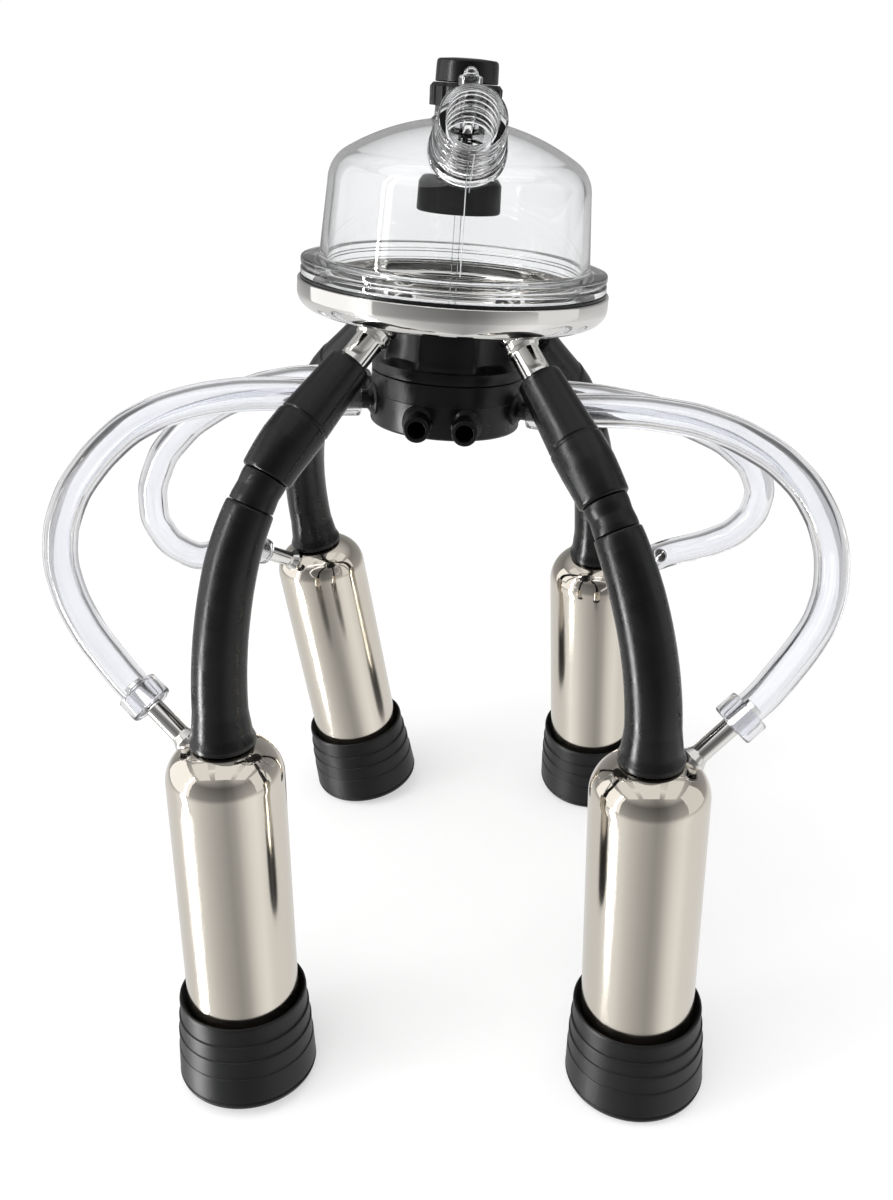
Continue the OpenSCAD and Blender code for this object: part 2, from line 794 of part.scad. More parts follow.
module valve_cap() {
    color(rubber)
        in_claw()
            translate([0, 0, cap_z])
                rotate_extrude()
                    polygon(concat(
                        [[0, 0], [cap_d / 2, 0]],
                        arc_points([cap_d / 2 - cap_edge, cap_h - cap_edge], cap_edge, 0, 90, 6),
                        [[0, cap_h]]));
}

module valve_grip() {
    color(plastic_black)
        in_claw()
            difference() {
                translate([0, 0, grip_z])
                    cylinder(d = grip_d, h = grip_h);
                translate([0, 0, grip_z - grip_h])
                    cylinder(d = neck_d + 2 * grip_gap, h = neck_h + grip_gap - grip_z + grip_h);
                translate([0, 0, grip_z])
                    cylinder(d = stem_d, h = 2 * grip_h);
                for (k = [0:rib_count - 1])
                    rotate([0, 0, 360 * k / rib_count])
                        translate([grip_d / 2, 0, grip_z + grip_h / 2])
                            cube([2 * rib_depth, 2 * rib_depth, 2 * grip_h], center = true);
            }
}

module valve_stem() {
    color(plastic_black)
        in_claw()
            translate([0, 0, valve_z + valve_h - valve_wall])
                cylinder(d = stem_d, h = cap_z - valve_z - valve_h + valve_wall);
}

module valve_cup() {
    crown = valve_h - valve_wall;
    round = 2 * valve_wall;
    color(rubber)
        in_claw()
            translate([0, 0, valve_z])
                difference() {
                    rotate_extrude()
                        polygon(concat(
                            [[0, 0], [valve_d / 2, 0]],
                            arc_points([valve_d / 2 - round, valve_h - round], round, 0, 90, 6),
                            [[0, valve_h]]));
                    translate([0, 0, -crown / 2])
                        cylinder(d = valve_d - 2 * valve_wall, h = crown);
                    translate([0, 0, crown])
                        cylinder(d = stem_d, h = valve_h);
                    cylinder(d = rod_d, h = valve_h);
                }
}

module valve_rod() {
    bottom = disc_top + screw_head_h + rod_gap;
    color(clear)
        in_claw()
            translate([0, 0, bottom])
                cylinder(d = rod_d, h = valve_z + valve_h - valve_wall - bottom);
}

module stem_bush() {
    color(plastic_black)
        in_claw()
            translate([0, 0, neck_h - bush_h])
                difference() {
                    cylinder(d = neck_bore, h = bush_h);
                    cylinder(d = stem_d + 2 * stem_gap, h = 3 * bush_h, center = true);
                }
}

// A round bar along an inlet, from its end inside the cover
module inlet_bar(i, d, l) {
    bar(inlet_root(i) - inlet_inside * inlet_dir(i), inlet_dir(i), d, l);
}

module milk_inlet(i) {
    t = inlet_dir(i);
    color(steel)
        difference() {
            union() {
                inlet_bar(i, inlet_d, inlet_inside + inlet_outside);
                difference() {
                    inlet_bar(i, collar_d, inlet_inside + collar_l);
                    in_claw()
                        rotate_extrude()
                            cover_outline(0);
                }
            }
            bar(inlet_root(i) - 2 * inlet_inside * t, t, inlet_bore, 2 * inlet_inside + 2 * inlet_outside);
        }
}

module milk_tube(i) {
    path = leg(i);
    color(rubber)
        difference() {
            union() {
                stretch(path, tube_from, cuff_from + seam_l, tube_d);
                stretch(path, cuff_from, tube_to, cuff_d);
            }
            stretch(path, tube_from - seam_l, tube_to + seam_l, inlet_d);
        }
}

module tail_connector(i) {
    path = leg(i);
    from = tube_to - link_in;
    to = tube_to + link_l + link_in;
    color(plastic_black)
        difference() {
            union() {
                stretch(path, from, tube_to + seam_l, inlet_d);
                stretch(path, tube_to, tube_to + link_l, link_d);
                stretch(path, tube_to + link_l - seam_l, to, milk_bore);
            }
            stretch(path, from - seam_l, to + seam_l, link_bore);
        }
}

// Half section of the liner in its cup, from the mouthpiece's foot to the top of the tail's flare
module liner_outline() {
    shell_r = shell_d / 2;
    sleeve = shell_r - shell_t;
    barrel_z = shell_z + sleeve - barrel_d / 2;
    flare = (foot_d - tail_d) / 2;
    groove_at = [for (k = [0:mouth_grooves - 1]) groove_z + k * groove_pitch];
    polygon(concat(
        [[teat_d / 2, mouth_floor / 2], [teat_d / 2 + mouth_floor / 2, 0]],
        arc_points([mouth_d / 2 - mouth_edge, mouth_edge], mouth_edge, -90, 0, 6),
        [for (z = groove_at, step = [0, 1]) [skirt_r(z) - (step == 0 ? 0 : groove_depth), z]],
        [[lip_d / 2, lip_h], [shell_r, lip_h], [shell_r, shell_z],
         [sleeve, shell_z], [sleeve, shell_z + shell_t],
         [barrel_d / 2, barrel_z], [barrel_d / 2, shell_shoulder_z],
         [neck_hole_d / 2, shell_shoulder_z + shell_shoulder_r / 2], [neck_hole_d / 2, shell_top],
         [foot_d / 2, shell_top], [foot_d / 2, shell_top + foot_rim]],
        arc_points([tail_d / 2 + flare, liner_top], flare, 225, 180, 5),
        [[milk_bore / 2, liner_top], [milk_bore / 2, shell_shoulder_z],
         [barrel_bore / 2, shell_shoulder_z - barrel_d / 2], [barrel_bore / 2, barrel_z],
         [chamber_d / 2, shell_z], [chamber_d / 2, mouth_floor], [teat_d / 2, mouth_floor]]));
}

// Outside radius of the mouthpiece's skirt at a height
function skirt_r(z) = mouth_d / 2 + (lip_d - mouth_d) / 2 * (z - mouth_edge) / (lip_h - mouth_edge);

module liner(i) {
    path = leg(i);
    tail_from = tube_to + link_l;
    tail_to = leg_length(path) + seam_l;
    color(rubber) {
        in_cup(i)
            rotate_extrude()
                liner_outline();
        difference() {
            stretch(path, tail_from, tail_to, tail_d);
            stretch(path, tail_from - seam_l, tail_to + seam_l, milk_bore);
        }
    }
}

// Half section of a shell, drawn in by the sheet's thickness
module shell_outline(wall) {
    r = shell_d / 2;
    polygon(concat(
        [[0, shell_z], [r - wall, shell_z]],
        arc_points([r - shell_shoulder_r, shell_shoulder_z], shell_shoulder_r - wall, 0, 90, 9),
        [[0, shell_top - wall]]));
}

module shell(i) {
    color(steel)
        difference() {
            in_cup(i)
                difference() {
                    rotate_extrude()
                        difference() {
                            shell_outline(0);
                            shell_outline(shell_t);
                        }
                    translate([0, 0, shell_shoulder_z])
                        cylinder(d = neck_hole_d, h = 2 * shell_shoulder_r);
                }
            bar(nipple_point(i, -nipple_inside), nipple_dir(i), nipple_d, 2 * nipple_inside);
        }
}

module shell_nipple(i) {
    l = nipple_inside + nipple_bare + nipple_grip;
    color(steel)
        difference() {
            bar(nipple_point(i, -nipple_inside), nipple_dir(i), nipple_d, l);
            bar(nipple_point(i, -2 * nipple_inside), nipple_dir(i), nipple_bore, 2 * l);
        }
}

// A hollow tube of flat faces along a route, with closed ends
module hose(p, d, bore, sides) {
    n = len(p);
    outer = [for (k = [0:n - 1], q = route_ring(p, k, d / 2, sides)) q];
    inner = [for (k = [0:n - 1], q = route_ring(p, k, bore / 2, sides)) q];
    base = n * sides;
    last = n - 1;
    function at(k, j) = k * sides + j % sides;
    function in(k, j) = base + at(k, j);
    polyhedron(
        concat(outer, inner),
        concat(
            [for (k = [0:n - 2], j = [0:sides - 1]) [at(k, j), at(k + 1, j), at(k + 1, j + 1)]],
            [for (k = [0:n - 2], j = [0:sides - 1]) [at(k, j), at(k + 1, j + 1), at(k, j + 1)]],
            [for (k = [0:n - 2], j = [0:sides - 1]) [in(k, j), in(k + 1, j + 1), in(k + 1, j)]],
            [for (k = [0:n - 2], j = [0:sides - 1]) [in(k, j), in(k, j + 1), in(k + 1, j + 1)]],
            [for (j = [0:sides - 1]) [at(0, j), at(0, j + 1), in(0, j)]],
            [for (j = [0:sides - 1]) [at(0, j + 1), in(0, j + 1), in(0, j)]],
            [for (j = [0:sides - 1]) [at(last, j), in(last, j), at(last, j + 1)]],
            [for (j = [0:sides - 1]) [at(last, j + 1), in(last, j), in(last, j + 1)]]));
}

module pulse_tube(i) {
    sides = 12;
    color(clear_lilac)
        hose(pulse_route(i), pulse_d, (max(port_d, nipple_d) + 2 * pulse_gap) / cos(180 / sides), sides);
}

module pulse_cuff(i) {
    t = nipple_dir(i);
    color(clear_lilac)
        difference() {
            bar(nipple_point(i, nipple_bare), t, pulse_cuff_d, pulse_cuff_l);
            bar(nipple_point(i, 0), t, pulse_d + 2 * pulse_cuff_gap, nipple_bare + 2 * pulse_cuff_l);
        }
}

bowl();
spout();
bowl_seal();
cover();
floor_disc();
centre_screw();
distributor_top();
distributor_body();
side_nipple(FL);  // side_nipple_fl
side_nipple(FR);  // side_nipple_fr
side_nipple(BL);  // side_nipple_bl
side_nipple(BR);  // side_nipple_br
front_nipple(-1);  // front_nipple_left
front_nipple(1);  // front_nipple_right
valve_cap();
valve_grip();
valve_stem();
valve_cup();
valve_rod();
stem_bush();
milk_inlet(FL);  // milk_inlet_fl
milk_inlet(FR);  // milk_inlet_fr
milk_inlet(BL);  // milk_inlet_bl
milk_inlet(BR);  // milk_inlet_br
milk_tube(FL);  // milk_tube_fl
milk_tube(FR);  // milk_tube_fr
milk_tube(BL);  // milk_tube_bl
milk_tube(BR);  // milk_tube_br
tail_connector(FL);  // tail_connector_fl
tail_connector(FR);  // tail_connector_fr
tail_connector(BL);  // tail_connector_bl
tail_connector(BR);  // tail_connector_br
liner(FL);  // liner_fl
liner(FR);  // liner_fr
liner(BL);  // liner_bl
liner(BR);  // liner_br
shell(FL);  // shell_fl
shell(FR);  // shell_fr
shell(BL);  // shell_bl
shell(BR);  // shell_br
shell_nipple(FL);  // shell_nipple_fl
shell_nipple(FR);  // shell_nipple_fr
shell_nipple(BL);  // shell_nipple_bl
shell_nipple(BR);  // shell_nipple_br
pulse_tube(FL);  // pulse_tube_fl
pulse_tube(FR);  // pulse_tube_fr
pulse_tube(BL);  // pulse_tube_bl
pulse_tube(BR);  // pulse_tube_br
pulse_cuff(FL);  // pulse_cuff_fl
pulse_cuff(FR);  // pulse_cuff_fr
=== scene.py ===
import bmesh
import bpy
import numpy as np
from mathutils import Matrix


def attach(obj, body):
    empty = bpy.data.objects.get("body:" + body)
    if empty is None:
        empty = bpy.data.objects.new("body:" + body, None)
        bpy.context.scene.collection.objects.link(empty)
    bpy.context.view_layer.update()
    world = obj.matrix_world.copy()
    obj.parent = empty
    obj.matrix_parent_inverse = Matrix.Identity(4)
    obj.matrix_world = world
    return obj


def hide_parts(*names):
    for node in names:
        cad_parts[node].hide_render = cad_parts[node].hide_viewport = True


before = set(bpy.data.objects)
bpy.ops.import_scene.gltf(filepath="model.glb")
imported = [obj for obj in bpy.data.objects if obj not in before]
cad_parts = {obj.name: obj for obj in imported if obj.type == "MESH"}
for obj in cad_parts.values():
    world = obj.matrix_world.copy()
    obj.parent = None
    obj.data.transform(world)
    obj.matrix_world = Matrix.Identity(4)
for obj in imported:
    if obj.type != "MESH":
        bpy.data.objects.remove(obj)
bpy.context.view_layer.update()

MM = 0.001
TURN = 2 * np.pi

# Places, all in millimetres and degrees, repeated from the part's source

CLAW_AT = np.array([9.5, -7.0, 327.5])
CLAW_TIP, CLAW_ROLL = -2.5, 4.5
COVER_TURN, BOWL_TURN = -3.0, 1.0
CUPS = {
    "fl": {"foot": (-87, -110), "tip": -4.0, "roll": 0.5, "aim": 155, "inlet": 228.5, "port": 200},
    "fr": {"foot": (85, -117), "tip": -1.0, "roll": -0.5, "aim": 15, "inlet": 311.5, "port": -20},
    "bl": {"foot": (-46, 117), "tip": 4.0, "roll": -7.5, "aim": 225, "inlet": 131.5, "port": 160},
    "br": {"foot": (92, 110), "tip": 9.5, "roll": -2.5, "aim": 315, "inlet": 48.5, "port": 20},
}
ROUTE = {
    "fl": [[-44, -22, 284], [-61, -26, 286], [-78, -29, 287], [-94, -33, 286], [-109, -37, 283],
           [-123, -41, 277], [-135, -46, 267], [-145, -51, 255], [-151, -56, 241], [-152, -61, 227],
           [-148, -66, 213], [-141, -71, 200]],
    "fr": [[54, -28, 278], [69, -32, 279], [87, -36, 279], [106, -41, 277], [123, -46, 272],
           [138, -51, 264], [149, -57, 254], [156, -63, 242], [159, -69, 230], [158, -76, 217],
           [153, -83, 206], [145, -89, 197]],
    "bl": [[-43, 12, 281], [-59, 16, 280], [-77, 21, 276], [-96, 27, 268], [-114, 33, 256],
           [-129, 38, 240], [-138, 43, 221], [-140, 48, 202], [-134, 53, 186], [-122, 59, 176]],
    "br": [[56, 7, 274], [74, 10, 271], [94, 13, 266], [115, 16, 259], [134, 19, 249],
           [148, 23, 236], [155, 28, 221], [154, 33, 206], [146, 38, 194], [134, 44, 186]],
}
MOUTH_R, MOUTH_EDGE = 30.2, 3.0
SHELL_R, SHELL_T, SHELL_Z = 24.0, 1.2, 14.0
SHOULDER_Z, SHOULDER_R = 147.0, 15.0
SHELL_TOP = SHOULDER_Z + SHOULDER_R
LINER_TOP = SHELL_TOP + 11.0
NIPPLE_RISE, NIPPLE_ROOT, NIPPLE_ROOT_H = 39.0, 18.0, 12.5
NIPPLE_BARE, NIPPLE_GRIP = 20.0, 12.0
INLET_REACH, INLET_DROP, LEAD = 39.5, 41.0, 58.0
COVER_FLOOR, DRUM_TOP, DRUM_BOTTOM = -15.7, -37.2, -59.7
DRUM_R, PORT_Z, FRONT_PORT_Z = 32.0, -49.2, -52.7
TUBE_TO, TAIL_FROM = 77.0, 89.5
PORT_BARE, SIDE_PORT, FRONT_PORT, FRONT_PORT_X = 6.0, 18.0, 11.0, 9.5
COVER_FLAT_R, COVER_EDGE_R, COVER_EDGE_Z, COVER_RISE = 36.0, 56.75, -6.2, 2.5


def about_z(degrees):
    """Rotation about Z."""
    c, s = np.cos(np.radians(degrees)), np.sin(np.radians(degrees))
    return np.array([[c, -s, 0], [s, c, 0], [0, 0, 1]])


def lean(tip, roll):
    """Rotation about X by tip and then about Y by roll."""
    (ca, cb), (sa, sb) = np.cos(np.radians([tip, roll])), np.sin(np.radians([tip, roll]))
    about_x = np.array([[1, 0, 0], [0, ca, -sa], [0, sa, ca]])
    about_y = np.array([[cb, 0, sb], [0, 1, 0], [-sb, 0, cb]])
    return about_y @ about_x


def unit(v):
    """Vectors of length 1 along the last axis."""
    v = np.asarray(v, float)
    return v / np.linalg.norm(v, axis=-1, keepdims=True)


def in_claw(turn=0.0):
    """The claw's own frame, turned about its axis: rotation and origin."""
    return lean(CLAW_TIP, CLAW_ROLL) @ about_z(turn), CLAW_AT


def in_cup(key):
    """A cup's own frame: it leans about its foot, whose lowest point is on the floor."""
    cup = CUPS[key]
    turn = lean(cup["tip"], cup["roll"])
    c = turn[2, 2]
    lift = (MOUTH_R - MOUTH_EDGE) * np.sqrt(1 - c * c) + MOUTH_EDGE * (1 - c)
    return turn, np.array([*cup["foot"], lift])


def along(point, axis):
    """A frame at a point with its Z along an axis."""
    z = unit(axis)
    x = unit(np.cross(z, [0, 0, 1] if abs(z[2]) < 0.9 else [1, 0, 0]))
    return np.column_stack([x, np.cross(z, x), z]), np.asarray(point, float)


def put(place, points):
    """Points of a frame in the world: rotation times point plus origin."""
    turn, origin = place
    return np.asarray(points, float) @ turn.T + origin


def port_point(key, reach):
    """A point on a side nipple's axis, reach millimetres out from the drum."""
    return put(in_claw(CUPS[key]["port"] + COVER_TURN), [DRUM_R + reach, 0, PORT_Z])


def nipple_place(key):
    """A frame at a shell nipple's root with Z along the nipple."""
    turn, origin = in_cup(key)
    aim = turn @ about_z(CUPS[key]["aim"])
    rise = np.radians(NIPPLE_RISE)
    root = aim @ [NIPPLE_ROOT, 0, SHOULDER_Z + NIPPLE_ROOT_H] + origin
    return along(root, aim @ [np.cos(rise), 0, np.sin(rise)])


def inlet_place(key):
    """A frame at an inlet's root under the cover with Z along the inlet."""
    z = COVER_FLOOR + COVER_RISE * (INLET_REACH - COVER_FLAT_R) / (COVER_EDGE_R - COVER_FLAT_R)
    turn, origin = in_claw(CUPS[key]["inlet"] + COVER_TURN)
    drop = np.radians(INLET_DROP)
    return along(turn @ [INLET_REACH, 0, z] + origin, turn @ [np.cos(drop), 0, -np.sin(drop)])


# Outlines and surfaces

def rounded(corners, closed=False, steps=6):
    """Half section through corners (x, y, radius), each corner replaced by its tangent arc.

    With u and v the unit vectors to the neighbours and h half the angle between them, the arc starts
    radius / tan(h) from the corner and its centre lies radius / sin(h) along u + v.
    """
    c = np.array([(*p, 0)[:3] for p in corners], float)
    b, r = c[:, :2], c[:, 2]
    to_a, to_c = np.roll(b, 1, 0) - b, np.roll(b, -1, 0) - b
    la, lc = np.linalg.norm(to_a, axis=1), np.linalg.norm(to_c, axis=1)
    u, v = to_a / np.maximum(la, 1e-9)[:, None], to_c / np.maximum(lc, 1e-9)[:, None]
    if not closed:
        r[[0, -1]] = 0
    half = np.arccos(np.clip((u * v).sum(1), -1, 1)) / 2
    flat = half > np.pi / 2 - 1e-3
    half = np.where(flat, 0.5, half)
    r = np.where(flat, 0, np.minimum(r, 0.49 * np.minimum(la, lc) * np.tan(half)))
    middle = u + v
    middle /= np.maximum(np.linalg.norm(middle, axis=1), 1e-9)[:, None]
    centre = b + middle * (r / np.sin(half))[:, None]
    start = b + u * (r / np.tan(half))[:, None] - centre
    end = b + v * (r / np.tan(half))[:, None] - centre
    a0, a1 = np.arctan2(start[:, 1], start[:, 0]), np.arctan2(end[:, 1], end[:, 0])
    sweep = (a1 - a0 + np.pi) % TURN - np.pi
    angle = a0[:, None] + sweep[:, None] * np.linspace(0, 1, steps + 1)
    arc = centre[:, None] + r[:, None, None] * np.stack([np.cos(angle), np.sin(angle)], -1)
    return np.where((r > 0)[:, None, None], arc, b[:, None]).reshape(-1, 2)


def arc(x, y, r, start, end, steps=16):
    """Points of an arc about (x, y), without rounding, as corners."""
    a = np.radians(np.linspace(start, end, steps + 1))
    return [(px, py, 0) for px, py in zip(x + r * np.cos(a), y + r * np.sin(a))]


def denser(outline, step):
    """The outline with more points, at most a step apart along its length."""
    run = np.concatenate([[0], np.cumsum(np.linalg.norm(np.diff(outline, axis=0), axis=1))])
    at = np.unique(np.concatenate([run, np.arange(0, run[-1], step)]))
    return np.column_stack([np.interp(at, run, outline[:, k]) for k in range(2)])


def denser_loop(outline, step):
    """A closed outline with more points, at most a step apart along its length."""
    return denser(np.vstack([outline, outline[:1]]), step)[:-1]


def turned(outline, place, turns, radius=None):
    """A surface of revolution: radius and height of the outline carried round the frame's Z.

    The radius may also be a table over outline and angle.
    """
    a = np.linspace(0, TURN, turns, endpoint=False)
    r = outline[:, :1] if radius is None else radius
    z = np.broadcast_to(outline[:, 1:], (len(outline), turns))
    return put(place, np.stack([r * np.cos(a), r * np.sin(a), z], -1))


RIDGE_WIDTH = 0.05


def carried(outline, route, turns, ridge=0.0):
    """A round section carried along a route: place on the route and radius from the outline.

    ridge raises two thin mould lines on opposite sides, each a bell curve over the sine of the angle.
    """
    a = np.linspace(0, TURN, turns, endpoint=False)
    middle, ahead, side = route(outline[:, 0])
    n = unit(side - (side * ahead).sum(-1, keepdims=True) * ahead)
    b = np.cross(ahead, n)
    ring = n[:, None] * np.cos(a)[:, None] + b[:, None] * np.sin(a)[:, None]
    line = ridge * np.exp(-(np.sin(a) / RIDGE_WIDTH) ** 2)
    return middle[:, None] + ring * (outline[:, 1:] + line)[..., None]


def leg_route(key):
    """A leg from the cover to the mouthpiece: a straight lead, two arcs that meet smoothly, the cup's axis.

    On an arc of radius r with start p, direction t and inward normal n, the point at distance s is
    p + r (sin(s/r) t + (1 - cos(s/r)) n).
    """
    turn, start = inlet_place(key)
    t0 = turn[:, 2]
    cup_turn, cup_at = in_cup(key)
    t1 = -cup_turn[:, 2]
    p0, p1 = start + LEAD * t0, put((cup_turn, cup_at), [0, 0, LINER_TOP])
    v, t, k = p1 - p0, t0 + t1, 2 * (1 - t0 @ t1)
    reach = (np.sqrt((v @ t) ** 2 + k * (v @ v)) - v @ t) / k
    mid = (p0 + reach * t0 + p1 - reach * t1) / 2
    tm = unit(p1 - reach * t1 - p0 - reach * t0)

    def bend(p, t, q):
        chord = q - p
        n = unit(chord - (chord @ t) * t)
        r = (chord @ chord) / (2 * (chord @ n))
        return p, t, n, r, 2 * np.arctan2(chord @ n, chord @ t) * r

    first, second = bend(p0, t0, mid), bend(mid, tm, p1)
    ends = np.cumsum([LEAD, first[4], second[4]])
    side = unit(np.cross(t0, t1))

    def on_bend(part, s):
        p, t, n, r, _ = part
        a = (s / r)[:, None]
        return p + r * (np.sin(a) * t + (1 - np.cos(a)) * n), np.cos(a) * t + np.sin(a) * n

    def route(s):
        c1, d1 = on_bend(first, s - ends[0])
        c2, d2 = on_bend(second, s - ends[1])
        where = np.searchsorted(ends, s, side="right")[:, None]
        c = np.select([where == 0, where == 1, where == 2],
                      [start + s[:, None] * t0, c1, c2], p1 + (s - ends[2])[:, None] * t1)
        d = np.select([where == 0, where == 1, where == 2],
                      [np.broadcast_to(t0, d1.shape), d1, d2], np.broadcast_to(t1, d1.shape))
        return c, d, side

    return route, ends[2]


def smooth_route(points, count=260, passes=40):
    """One smooth curve through a tube's points: evenly spaced and then averaged with its neighbours."""
    p = np.asarray(points, float)
    run = np.concatenate([[0], np.cumsum(np.linalg.norm(np.diff(p, axis=0), axis=1))])
    at = np.linspace(0, run[-1], count)
    p = np.column_stack([np.interp(at, run, p[:, k]) for k in range(3)])
    for _ in range(passes):
        p[3:-3] = (p[2:-4] + 2 * p[3:-3] + p[4:-2]) / 4
    run = np.concatenate([[0], np.cumsum(np.linalg.norm(np.diff(p, axis=0), axis=1))])
    ahead = unit(np.gradient(p, axis=0))
    side = np.linalg.svd(p - p.mean(0))[2][2]

    def route(s):
        c = np.column_stack([np.interp(s, run, p[:, k]) for k in range(3)])
        d = unit(np.column_stack([np.interp(s, run, ahead[:, k]) for k in range(3)]))
        return c, d, side

    return route, run[-1], p


LOOP, CAPPED = True, False  # a sheet's rows close on themselves, or end in poles
MERGE, NO_AREA = 2e-6, 1e-7


def mesh_of(name, *sheets):
    """A mesh of closed sheets: each a table of points whose columns close on themselves.

    Sheets are (points, LOOP or CAPPED). Poles and doubled rows are merged and faces turned outwards.
    """
    verts, faces, first = [], [], 0
    for points, rows_close in sheets:
        rows, cols = points.shape[:2]
        i = np.arange(rows if rows_close else rows - 1)[:, None]
        j = np.arange(cols)[None]
        i2, j2 = (i + 1) % rows, (j + 1) % cols
        quads = np.stack([i * cols + j, i * cols + j2, i2 * cols + j2, i2 * cols + j], -1)
        faces.append(quads.reshape(-1, 4) + first)
        verts.append(points.reshape(-1, 3) * MM)
        first += rows * cols
    verts, faces = np.concatenate(verts), np.concatenate(faces)
    mesh = bpy.data.meshes.new(name)
    mesh.vertices.add(len(verts))
    mesh.vertices.foreach_set("co", verts.astype(np.float32).ravel())
    mesh.loops.add(faces.size)
    mesh.loops.foreach_set("vertex_index", faces.astype(np.int32).ravel())
    mesh.polygons.add(len(faces))
    mesh.polygons.foreach_set("loop_start", np.arange(0, faces.size, 4, dtype=np.int32))
    mesh.update(calc_edges=True)
    mesh.validate()
    close_up(mesh)
    return mesh


def close_up(mesh):
    """Merge doubled points, drop faces without area and turn the faces outwards."""
    bm = bmesh.new()
    bm.from_mesh(mesh)
    bmesh.ops.remove_doubles(bm, verts=bm.verts, dist=MERGE)
    bmesh.ops.dissolve_degenerate(bm, edges=bm.edges, dist=NO_AREA)
    bmesh.ops.recalc_face_normals(bm, faces=bm.faces)
    bm.to_mesh(mesh)
    bm.free()


def piece(name, mesh, material, slot, body="cluster", stands_for=(), sharp=38):
    """Show a mesh as a piece of the object that rides on a body and stands for CAD nodes."""
    obj = bpy.data.objects.new(name, mesh)
    bpy.context.scene.collection.objects.link(obj)
    mesh.polygons.foreach_set("use_smooth", np.ones(len(mesh.polygons), bool))
    mesh.set_sharp_from_angle(angle=np.radians(sharp))
    mesh.materials.clear()
    mesh.materials.append(material)
    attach(obj, body)
    if stands_for:
        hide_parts(*stands_for)
    return obj


def skin(name, sheets, material, slot, **more):
    """Show closed sheets as one piece of the object."""
    return piece(name, mesh_of(name, *sheets), material, slot, **more)


def joined(base, others, operation):
    """The base mesh united with, or cut by, other closed meshes, one after another."""
    obj = bpy.data.objects.new("work", base)
    bpy.context.scene.collection.objects.link(obj)
    for other in others:
        tool = bpy.data.objects.new("tool", other)
        bpy.context.scene.collection.objects.link(tool)
        cut = obj.modifiers.new("cut", "BOOLEAN")
        cut.operation, cut.object, cut.solver = operation, tool, "EXACT"
        done = bpy.data.meshes.new_from_object(obj.evaluated_get(bpy.context.evaluated_depsgraph_get()))
        obj.modifiers.clear()
        bpy.data.objects.remove(tool)
        obj.data = done
    bpy.data.objects.remove(obj)
    return done


# Finishes

class Finish:
    """A Principled surface with small helpers to wire its procedural detail."""

    def __init__(self, name, **values):
        self.material = bpy.data.materials.new(name)
        self.material.use_nodes = True
        self.tree = self.material.node_tree
        self.shader = self.tree.nodes["Principled BSDF"]
        for socket, value in values.items():
            self.shader.inputs[socket.replace("_", " ")].default_value = value
        self.place = self.tree.nodes.new("ShaderNodeTexCoord").outputs["Object"]

    def node(self, kind, **values):
        made = self.tree.nodes.new(kind)
        for key, value in values.items():
            setattr(made, key, value)
        return made

    def link(self, a, b):
        self.tree.links.new(a, b)

    def noise(self, scale, detail=3.0, stretch=(1, 1, 1)):
        """Noise of a scale per metre, stretched along the axes."""
        mapping = self.node("ShaderNodeMapping")
        mapping.inputs["Scale"].default_value = stretch
        made = self.node("ShaderNodeTexNoise")
        made.inputs["Scale"].default_value = scale
        made.inputs["Detail"].default_value = detail
        self.link(self.place, mapping.inputs["Vector"])
        self.link(mapping.outputs["Vector"], made.inputs["Vector"])
        return made.outputs["Fac"]

    def ramp(self, value, low, high, from_min=0.3, from_max=0.7):
        """A value from low to high as the noise goes from from_min to from_max."""
        made = self.node("ShaderNodeMapRange")
        for socket, number in zip(("From Min", "From Max", "To Min", "To Max"),
                                  (from_min, from_max, low, high)):
            made.inputs[socket].default_value = number
        self.link(value, made.inputs["Value"])
        return made.outputs["Result"]

    def colours(self, value, low, high, from_min=0.3, from_max=0.7):
        """A colour between two as the noise goes from from_min to from_max."""
        made = self.node("ShaderNodeValToRGB")
        made.color_ramp.elements[0].position = from_min
        made.color_ramp.elements[0].color = (*low, 1)
        made.color_ramp.elements[1].position = from_max
        made.color_ramp.elements[1].color = (*high, 1)
        self.link(value, made.inputs["Fac"])
        self.link(made.outputs["Color"], self.shader.inputs["Base Color"])

    def by_height(self, low, high):
        """0 at one height above the floor and 1 at another, in metres."""
        split = self.node("ShaderNodeSeparateXYZ")
        self.link(self.place, split.inputs[0])
        return self.ramp(split.outputs["Z"], 0.0, 1.0, low, high)

    def between(self, first, second, share):
        """The first value where share is 0 and a fixed second value where it is 1."""
        made = self.node("ShaderNodeMix")
        made.inputs["B"].default_value = second
        self.link(share, made.inputs["Factor"])
        self.link(first, made.inputs["A"])
        return made.outputs["Result"]

    def rough(self, value):
        self.link(value, self.shader.inputs["Roughness"])

    def bump(self, height, depth, strength=1.0):
        """A bump of a depth in metres."""
        made = self.node("ShaderNodeBump")
        made.inputs["Strength"].default_value = strength
        made.inputs["Distance"].default_value = depth
        self.link(height, made.inputs["Height"])
        self.link(made.outputs["Normal"], self.shader.inputs["Normal"])


def satin_steel():
    """Drawn sheet: warm grey, faint lengthwise drawing lines, soft polish clouds, mirror-bright shoulder."""
    f = Finish("satin_steel", Metallic=1.0)
    lines = f.noise(900, 4, (1, 1, 0.012))
    f.colours(f.noise(14, 3, (1, 1, 0.4)), (0.62, 0.572, 0.5), (0.69, 0.643, 0.57))
    f.rough(f.between(f.ramp(f.noise(60, 4, (1, 1, 0.06)), 0.11, 0.2), 0.035, f.by_height(0.142, 0.15)))
    f.bump(lines, 0.000012)
    return f.material


def mirror_steel():
    """Polished pressing: bright, with the slight waves of pressed sheet and a few hazy patches."""
    f = Finish("mirror_steel", Metallic=1.0)
    f.colours(f.noise(18, 2), (0.66, 0.65, 0.63), (0.74, 0.73, 0.71))
    f.rough(f.ramp(f.noise(90, 4), 0.035, 0.085))
    f.bump(f.noise(38, 2), 0.00012, 0.5)
    return f.material


